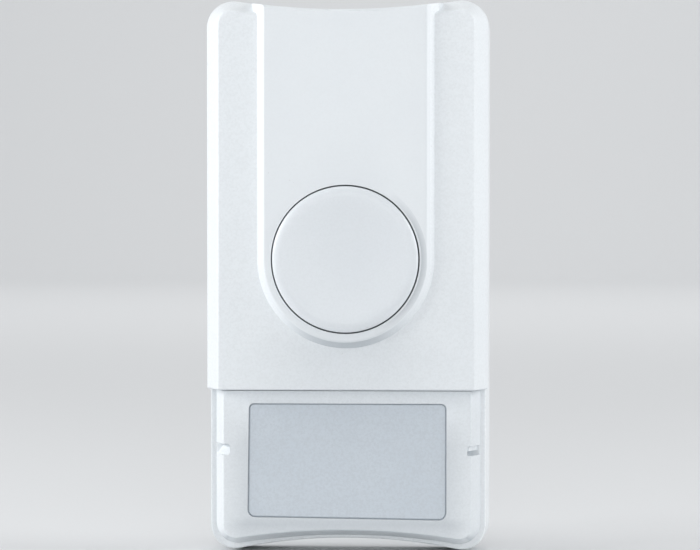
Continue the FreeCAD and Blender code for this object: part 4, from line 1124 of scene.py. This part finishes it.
@dataclass(frozen=True)
class PanScrew:
    """A pan head screw with a cross recess and a rolled thread. Lengths are in millimetres."""

    head_radius: float
    head_height: float
    shank_radius: float
    length: float
    pitch: float = 0.6
    run_out: float = 0.3

    def head(self, name: str) -> Object:
        """Head and core, turned in one, with the cross cut out.

        Args:
            name: The part's name.

        Returns:
            The part, with its seat at height 0.
        """
        core = self.shank_radius * 0.8
        rise = self.head_height
        body = turned(name, ZINC, eased([
            (0.0, -self.length, 0), (0.25 * core, -self.length, 0), (core, -self.length + 1.2 * core, 0.1),
            (core, 0.0, 0), (self.head_radius, 0.0, 0.06), (self.head_radius, 0.5 * rise, 0.4 * rise),
            (0.7 * self.head_radius, rise, 0.5 * rise), (0.0, rise, 0)], 4), 40)
        reach, thin = 0.62 * self.head_radius, 0.15 * self.head_radius
        for index, (x, y) in enumerate(((reach, thin), (thin, reach))):
            blade = slab(f"{name}_blade_{index}", oblong(x, y), 0.45 * rise, 2 * rise)
            blade.hide_render = True
            cut = body.modifiers.new("cross", "BOOLEAN")
            cut.object, cut.solver = blade, "EXACT"
            bake(body, cut)
            bpy.data.objects.remove(blade)
        return body

    def build(self, name: str, spots: Iterable[Spot]) -> Object:
        """Make the screws at their spots, heads along their own Z axis.

        Args:
            name: The piece's name.
            spots: Where each head's seat lies.

        Returns:
            One piece with all the screws.
        """
        body = self.head(name + "_body")
        ridge = 0.22 * self.shank_radius
        span = self.length - 1.3 * self.shank_radius - self.run_out
        thread = wound(name + "_thread", ZINC, Radius=self.shank_radius - ridge, Wire=ridge, Length=span,
                       Turns=span / self.pitch, Closed=0.0, Steps=int(24 * span / self.pitch), Sides=5)
        thread.data.transform(Matrix.Translation((0, 0, -span - self.run_out)))
        work = bmesh.new()
        for item in (body, thread):
            work.from_mesh(item.data)
        mesh = bpy.data.meshes.new(name + "_single")
        pour(work, mesh, PLAIN_CREASE)
        for item in (body, thread):
            bpy.data.objects.remove(item)
        return repeated(name, ZINC, add_object(name + "_single", mesh), spots)


@dataclass
class Enclosure:
    """The rear housing, its seal, the front cover and the screw that holds them together."""

    screw: PanScrew = PanScrew(2.1, 1.2, 1.15, 4.3)
    seat_depth: float = 6.8
    screw_z: float = -20.8

    def build(self) -> None:
        """Dress the mouldings and the seal and make the screw."""
        dress(HOUSING_WHITE, "rear_housing")
        dress(SEAL, "housing_gasket")
        dress(SATIN_WHITE, "front_cover")
        screw = self.screw.build("cover_screw_threaded", [(0.0, self.screw_z, self.seat_depth, 20.0)])
        enlist(screw, "steel", "cover_screw")


@dataclass
class ButtonGroup:
    """The push button, what guides it and what returns it. Lengths are in millimetres."""

    centre_z: float = 2.8
    radius: float = 10.8
    face: float = 17.0
    edge: float = 0.65
    edge_width: float = 1.5
    edge_steps: int = 12
    dish: float = 0.3
    flange_radius: float = 11.9
    flange_front: float = 14.4
    back: float = 13.25
    hollow_radius: float = 9.4
    underside: float = 15.4
    stem_radius: float = 2.8
    stem_tip: float = 11.1
    spring_seat: float = 12.3
    spring_radius: float = 4.5
    wire_radius: float = 0.25
    travel: float = 0.6
    guide_seat: float = 11.4
    guide_screw: PanScrew = PanScrew(1.75, 1.1, 0.9, 2.7)
    ear_reach: float = 15.6
    ear_angles: tuple[float, ...] = (90, 210, 330)
    boot_back: float = 9.98
    hub_radius: float = 2.25
    plunger_free: float = 0.28
    skirt: tuple[Corner, ...] = (
        (2.3, 10.08, 0), (3.0, 10.1, 0.2), (3.9, 10.4, 0.3), (5.0, 10.45, 0.3), (6.2, 10.62, 0.1),
        (7.2, 10.62, 0.2), (7.2, 11.36, 0.2), (6.2, 11.36, 0.15), (6.2, 10.95, 0.15), (5.0, 10.78, 0.3),
        (3.8, 10.73, 0.3), (2.95, 10.4, 0.2), (2.3, 10.38, 0), (2.3, 10.08, 0))

    def on_axis(self, distance: float) -> Place:
        """The place on the button's axis at a distance from the wall."""
        return depth(distance, 0, self.centre_z)

    def cap(self) -> None:
        """The button: dished face, softly rolled edge, flange, hollow back and stem."""
        flat = self.radius - self.edge_width
        curve = cap_curve(flat, self.dish)
        middle = self.face - self.dish + curve
        bowl = [(reach, middle - rise) for reach, rise in arch(flat, curve, 0.0, 8)]
        for step in range(1, self.edge_steps + 1):
            turn = math.pi / 2 * step / self.edge_steps
            bowl.append((flat + self.edge_width * math.sin(turn),
                         self.face - self.edge * (1 - math.cos(turn))))
        rim = eased([
            (self.radius, self.face - self.edge, 0), (self.radius, self.flange_front, 0.12),
            (self.flange_radius, self.flange_front, 0.15), (self.flange_radius, self.back, 0.15),
            (self.hollow_radius, self.back, 0.15), (self.hollow_radius, self.underside, 0.3),
            (self.stem_radius, self.underside, 0.3), (self.stem_radius, self.stem_tip, 0.3),
            (0.0, self.stem_tip, 0)], 7)
        piece = turned("button_cap", BUTTON_WHITE, bowl + rim[1:], 192)
        enlist(piece, "button_plastic", "push_button", body="button", at=self.on_axis(0))

    def spring(self) -> None:
        """The return spring at its rest length."""
        length = self.underside - self.spring_seat
        piece = wound("return_coil", BRIGHT_WIRE, Radius=self.spring_radius, Wire=self.wire_radius,
                      Length=length, Turns=3.5, Closed=0.5, Steps=260, Sides=12)
        enlist(piece, "spring_steel", "return_spring", at=self.on_axis(self.spring_seat))
        flatten(piece, self.on_axis(self.spring_seat))

    def boot(self) -> None:
        """The soft seal: a hub that the stem squeezes and a skirt that stays in the guide plate."""
        back, front = self.boot_back, self.stem_tip - 0.05
        hub = turned("boot_hub", BOOT, eased([
            (0.0, back, 0), (self.hub_radius, back, 0.3), (self.hub_radius, front, 0.25),
            (0.0, front, 0)], 5), 64)
        enlist(hub, "boot", "switch_boot", at=self.on_axis(0))
        thickness = front - back
        keep = (thickness - self.travel + self.plunger_free) / thickness
        flatten(hub, self.on_axis(back - self.plunger_free / (1 - keep)))
        skirt = turned("boot_skirt", BOOT, eased(self.skirt, 4), 96)
        enlist(skirt, "boot", "switch_boot", at=self.on_axis(0))

    def screws(self) -> None:
        """The guide plate's three screws, from behind."""
        spots = []
        for angle in self.ear_angles:
            turn = math.radians(angle)
            x, z = self.ear_reach * math.cos(turn), self.centre_z + self.ear_reach * math.sin(turn)
            spots.append((x, -z, -self.guide_seat, 15.0 + angle))
        piece = self.guide_screw.build("guide_screws_threaded", spots)
        enlist(piece, "steel", "guide_plate_screws", facing=Facing.WALL)

    def build(self) -> None:
        """Make and dress the pieces."""
        self.cap()
        self.spring()
        self.boot()
        self.screws()
        dress(NATURAL, "guide_plate", "boot_clip")


@dataclass
class Electronics:
    """The circuit board and all that is soldered to it. Lengths are in millimetres."""

    board_front: float = 5.6
    button_z: float = 2.8
    screw: PanScrew = PanScrew(1.9, 1.2, 0.95, 3.3)
    board_screws: tuple[Point, ...] = ((-12.0, 15.8), (12.0, 15.8), (-14.8, -11.4), (14.8, -11.4))
    resistors: tuple[Point, ...] = tuple((x, z) for x in (-6.9, -5.2) for z in (-1.0, 2.4, 5.8))
    capacitors: tuple[Point, ...] = ((7.2, 4.4), (7.2, 7.6), (14.9, 5.2), (14.9, 8.4))
    lead: tuple[Point, ...] = ((-0.06, 0.62), (0.1, 0.62), (0.1, 0.0), (0.98, 0.0), (0.98, 0.22),
                               (0.28, 0.22), (0.28, 0.84), (-0.06, 0.84))
    coil_start: float = -11.2
    coil_z: float = -7.4
    coil_length: float = 9.8
    coil_radius: float = 1.7
    coil_wire: float = 0.35
    coil_gap: float = 0.15
    leg_length: float = 2.2
    pin_pitch: float = 2.54
    pin_z: float = 10.6
    switch_reach: Point = (3.66, 2.25)
    fillet: tuple[Point, ...] = ((0.0, 0.0), (0.62, 0.0), (0.6, 0.04), (0.5, 0.12), (0.42, 0.24), (0.37, 0.4),
                                 (0.3, 0.47), (0.0, 0.5))
    eyelet: tuple[Point, ...] = ((0.16, -0.02), (0.32, -0.02), (0.34, 0.02), (0.3, 0.035), (0.18, 0.035),
                                 (0.16, 0.02), (0.16, -0.02))
    holes: tuple[Point, ...] = (
        *((x, z) for x in (-15.4, -3.6, 5.6, 15.6) for z in (-4.2, 0.4, 12.6, 17.2)),
        (-8.4, 11.6), (-9.8, 14.6), (8.4, 12.2), (9.6, -7.4), (11.8, -10.2), (0.4, -12.6), (-7.6, -12.0))
    dome_floor: float = 6.65
    dome_radius: float = 2.2
    dome_rise: float = 0.5
    dome_thickness: float = 0.1
    plunger_travel: float = 0.24

    def plant(self, name: str, finish: Finish, part: Object, places: Iterable[Point],
              slot: str = "contact_metal", turns: Sequence[float] = (0,)) -> None:
        """Put copies of one part on the board's front.

        Args:
            name: The piece's name.
            finish: What it is made of.
            part: The single part, which is used up.
            places: The (x, z) of each copy.
            slot: The record's material slot.
            turns: The turns, in degrees, that stand at each place.
        """
        spots = [(x, z, self.board_front, turn) for x, z in places for turn in turns]
        enlist(repeated(name, finish, part, spots), slot)

    def coil_feet(self) -> tuple[Point, Point]:
        """Where the aerial's two legs stand."""
        return ((self.coil_start, self.coil_z - self.coil_radius),
                (self.coil_start + self.coil_length, self.coil_z + self.coil_radius))

    def dome(self) -> None:
        """The snap dome under the switch's plunger, in its rest shape."""
        curve = cap_curve(self.dome_radius, self.dome_rise)
        centre = self.dome_rise - curve
        inside = curve - self.dome_thickness
        foot = math.sqrt(inside ** 2 - centre ** 2)
        shell = arch(self.dome_radius, curve, centre, 10) + arch(foot, inside, centre, 10)[::-1]
        piece = turned("snap_dome", BRIGHT_WIRE, shell, 72)
        floor = depth(self.dome_floor, 0, self.button_z)
        enlist(piece, "spring_steel", "switch_dome", at=floor)
        flatten(piece, floor)

    def aerial(self) -> None:
        """The air-wound coil with its two legs."""
        wire = self.coil_wire
        lift = self.board_front + self.coil_radius + wire + self.coil_gap
        winding = wound("antenna_winding", COPPER, Radius=self.coil_radius, Wire=wire,
                        Length=self.coil_length + 2 * wire, Turns=7.5, Closed=0.0, Steps=420, Sides=14)
        enlist(winding, "copper", "antenna_coil", facing=Facing.RIGHT,
               at=depth(lift, self.coil_start - wire, self.coil_z))
        leg = turned("leg", COPPER, eased([
            (0.0, 0.0, 0), (wire, 0.0, 0), (wire, self.leg_length, 0.1), (0.0, self.leg_length, 0)], 3), 16)
        self.plant("antenna_legs", COPPER, leg, self.coil_feet(), "copper")

    def metal_ends(self) -> None:
        """Soldered end caps of the small oblong parts."""
        for name, places, half, half_depth, reach, height in (
                ("resistor_ends", self.resistors, 0.44, 0.17, 0.66, 0.48),
                ("capacitor_ends", self.capacitors, 0.53, 0.24, 0.76, 0.94)):
            cap = slab("cap", oblong(half, half_depth), 0.0, height, 0.05)
            self.plant(name, SOLDER, cap, [(x, z + side * reach) for x, z in places for side in (1, -1)])

    def leads(self) -> None:
        """Plated gull-wing leads of both chips."""
        for name, x, z, side, count, pitch in (("encoder_leads", -11.0, 4.0, 1.95, 7, 1.27),
                                               ("transmitter_leads", 11.2, 6.6, 1.5, 3, 0.95)):
            lead = slab("lead", self.lead, -0.21, 0.21, 0.02)
            lead.data.transform(Matrix.Rotation(math.radians(90), 4, "X"))
            lead.data.transform(Matrix.Translation((side, 0, 0)))
            places = [(x, z + (index - (count - 1) / 2) * pitch) for index in range(count)]
            self.plant(name, NICKEL, lead, places, turns=(0, 180))

    def pins(self) -> None:
        """Gold plated pins that stand in the code header."""
        pin = slab("pin", oblong(0.32, 0.32), 1.45, 3.62, 0.08)
        self.plant("code_pins", GOLD, pin, [(x, z) for x in (-self.pin_pitch, 0.0, self.pin_pitch)
                                            for z in (self.pin_z, self.pin_z + self.pin_pitch)])

    def joints(self) -> None:
        """Solder fillets and the plated holes between the tracks."""
        reach_x, reach_z = self.switch_reach
        feet = [(x, self.button_z + z) for x in (reach_x, -reach_x) for z in (reach_z, -reach_z)]
        cone = turned("fillet", SOLDER, self.fillet, 20)
        self.plant("solder_fillets", SOLDER, cone, [*feet, *self.coil_feet()])
        self.plant("plated_holes", NICKEL, turned("eyelet", NICKEL, self.eyelet, 18), self.holes)

    def screws(self) -> None:
        """The board's four screws."""
        spots = [(x, z, self.board_front, 35.0 * index) for index, (x, z) in enumerate(self.board_screws)]
        enlist(self.screw.build("board_screws_threaded", spots), "steel", "board_screws")

    def build(self) -> None:
        """Make and dress the pieces."""
        dress(LACQUER, "circuit_board")
        dress(RESIN, "switch_body", "switch_plunger", "encoder_chip", "transmitter_chip", "chip_resistors",
              "code_header", "code_jumpers")
        dress(NICKEL, "switch_cover_plate", "switch_terminals")
        dress(DRAWN_CAN, "resonator_can", "power_capacitor")
        dress(CERAMIC, "chip_capacitors")
        for make in (self.dome, self.aerial, self.metal_ends, self.leads, self.pins, self.joints,
                     self.screws):
            make()


@dataclass
class BatteryBay:
    """The cell and its contacts. Lengths are in millimetres."""

    radius: float = 5.15
    length: float = 27.5
    left: float = -14.0
    mouth: float = 4.3
    crimp: float = 4.32
    edge: float = 0.45
    nub_radius: float = 1.6
    nub_length: float = 0.9
    axis_depth: float = 7.1
    axis_z: float = 26.2
    contact_x: float = -17.0
    contact_thickness: float = 0.4
    coil_radius: float = 2.9
    wire_radius: float = 0.25

    def lay(self, piece: Object, slot: str, node: str, start: float) -> None:
        """Lay a turned piece along the cell's axis, from start to the right."""
        enlist(piece, slot, node, facing=Facing.RIGHT, at=depth(self.axis_depth, start, self.axis_z))

    def cell(self) -> None:
        """The cell: shrunk jacket, crimped ends, seal and positive cap."""
        mouth, crimp, end, tip = self.mouth, self.crimp, self.length, self.length + self.nub_length
        for name, finish, slot, steps, segments, corners in (
                ("cell_sleeve", JACKET, "cell_jacket", 6, 96, [
                    (mouth, 0.0, 0), (self.radius, 0.0, self.edge), (self.radius, end, self.edge),
                    (mouth, end, 0), (mouth, end - 0.25, 0), (mouth, 0.25, 0), (mouth, 0.0, 0)]),
                ("cell_negative_end", NICKEL, "contact_metal", 4, 72, [
                    (0.0, 0.12, 0), (3.3, 0.12, 0.1), (3.6, 0.02, 0.1), (crimp, 0.08, 0.05), (crimp, 0.6, 0),
                    (0.0, 0.6, 0)]),
                ("cell_seal", SEAL, "cell_jacket", 3, 72, [
                    (2.2, end - 0.5, 0), (crimp, end - 0.5, 0), (crimp, end - 0.1, 0.1), (2.2, end - 0.16, 0),
                    (2.2, end - 0.5, 0)]),
                ("cell_positive_cap", NICKEL, "contact_metal", 5, 48, [
                    (0.0, end - 0.4, 0), (2.25, end - 0.4, 0), (2.25, end - 0.05, 0.1),
                    (self.nub_radius, end, 0.15), (self.nub_radius, tip, 0.35), (0.0, tip, 0)])):
            self.lay(turned(name, finish, eased(corners, steps), segments), slot, "battery_cell", self.left)

    def coil(self) -> None:
        """The spring between the negative contact and the cell."""
        start = self.contact_x + self.contact_thickness
        piece = wound("battery_contact_coil", BRIGHT_WIRE, Radius=self.coil_radius, Wire=self.wire_radius,
                      Length=self.left - start - 0.02, Turns=3.5, Closed=0.5, Steps=220, Sides=12)
        self.lay(piece, "contact_metal", "battery_spring", start)

    def build(self) -> None:
        """Make and dress the pieces."""
        self.cell()
        self.coil()
        dress(NICKEL, "battery_contact_positive", "battery_contact_negative")


@dataclass
class NamePlate:
    """The pull-off name cover with its window and card."""

    def build(self) -> None:
        """Dress the pieces."""
        dress(SATIN_WHITE, "name_cover")
        dress(FROSTED, "name_window")
        dress(CARD, "name_card")
        dress(NATURAL, "card_retainer")


@dataclass(frozen=True)
class SoftBox:
    """A square area light, placed by its direction from the object and turned to its aim."""

    name: str
    azimuth: float
    elevation: float
    watts: float
    distance: float = 0.6
    size: float = 0.22
    aim: Place = (0.0, 0.0, 0.0)


@dataclass
class Studio:
    """Camera, floor, backdrop and lights."""

    target: Place = (0.0, -0.00295, 0.0002)
    azimuth: float = 3.1
    elevation: float = 1.3
    distance: float = 0.456
    lens: float = 154.3
    floor_z: float = -0.04143
    floor_tint: Colour = (0.74, 0.75, 0.76)
    sky: Colour = (0.97, 0.985, 1.0)
    ambient: float = 0.415
    boxes: tuple[SoftBox, ...] = (
        SoftBox("left_side_box", -85.0, 20.0, 1.27),
        SoftBox("left_box", -65.0, 15.0, 0.74),
        SoftBox("left_spot", -55.0, 20.0, 0.16, 0.6, 0.07),
        SoftBox("front_box", 3.5, 10.0, 0.55),
        SoftBox("top_box", 0.0, 75.0, 0.4),
        SoftBox("right_side_box", 85.0, 20.0, 1.52),
        SoftBox("backdrop_box", 180.0, 54.2, 11.0, 1.54, 1.0, (0.0, 2.1, 0.1)),
    )

    @staticmethod
    def direction(azimuth: float, elevation: float) -> Vector:
        """Unit vector from the object towards a place seen from it."""
        turn, rise = math.radians(azimuth), math.radians(elevation)
        return Vector((math.sin(turn) * math.cos(rise), -math.cos(turn) * math.cos(rise), math.sin(rise)))

    def camera(self) -> None:
        """Make the camera and use it."""
        data = bpy.data.cameras.new("camera")
        data.sensor_width = 36.0
        data.lens = self.lens
        data.clip_start = 0.01
        data.clip_end = 20.0
        item = add_object("camera", data)
        back = self.direction(self.azimuth, self.elevation)
        item.location = Vector(self.target) + back * self.distance
        item.rotation_euler = (-back).to_track_quat("-Z", "Y").to_euler()
        bpy.context.scene.camera = item

    def lights(self) -> None:
        """Make the soft boxes and the pale world."""
        for box in self.boxes:
            data = bpy.data.lights.new(box.name, "AREA")
            data.size = box.size
            data.energy = box.watts
            item = add_object(box.name, data)
            item.location = self.direction(box.azimuth, box.elevation) * box.distance
            item.rotation_euler = (Vector(box.aim) - item.location).to_track_quat("-Z", "Y").to_euler()
        world = bpy.data.worlds.new("studio")
        world.use_nodes = True
        graph = Graph(world.node_tree)
        glow = graph.make("ShaderNodeBackground", None, {"Color": (*self.sky, 1.0), "Strength": self.ambient})
        graph.make("ShaderNodeOutputWorld", None, {"Surface": glow})
        bpy.context.scene.world = world

    def sweep(self) -> None:
        """A pale floor that curves up into a far backdrop."""
        reach, radius, height, half, steps = 1.6, 0.6, 2.2, 3.0, 16
        profile = [(-reach, self.floor_z), (reach, self.floor_z)]
        for index in range(1, steps + 1):
            turn = math.pi / 2 * index / steps
            profile.append((reach + radius * math.sin(turn), self.floor_z + radius * (1 - math.cos(turn))))
        profile.append((reach + radius, height))
        shape = bmesh.new()
        rows = [[shape.verts.new((x, y, z)) for x in (-half, half)] for y, z in profile]
        for low, high in zip(rows, rows[1:]):
            shape.faces.new((low[0], low[1], high[1], high[0]))
        mesh = bpy.data.meshes.new("studio_floor")
        shape.to_mesh(mesh)
        shape.free()
        mesh.shade_smooth()
        mesh.materials.append(PaperCard("pale_floor", self.floor_tint).material())
        add_object("studio_floor", mesh)

    def build(self) -> None:
        """Set up everything round the object."""
        self.camera()
        self.lights()
        self.sweep()
        bpy.context.scene.view_settings.view_transform = "Standard"


def corners(pair: Iterable[Vector]) -> list[list[float]]:
    """A box's corners as plain lists."""
    return [list(corner) for corner in pair]


def main() -> None:
    """Build the studio and every sub-assembly."""
    logging.basicConfig(level=logging.INFO, format="%(name)s: %(message)s")
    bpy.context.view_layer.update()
    Studio().build()
    for part in (Enclosure(), ButtonGroup(), Electronics(), BatteryBay(), NamePlate()):
        part.build()
        LOG.info("%s done", type(part).__name__)


if __name__ == "__main__":
    main()
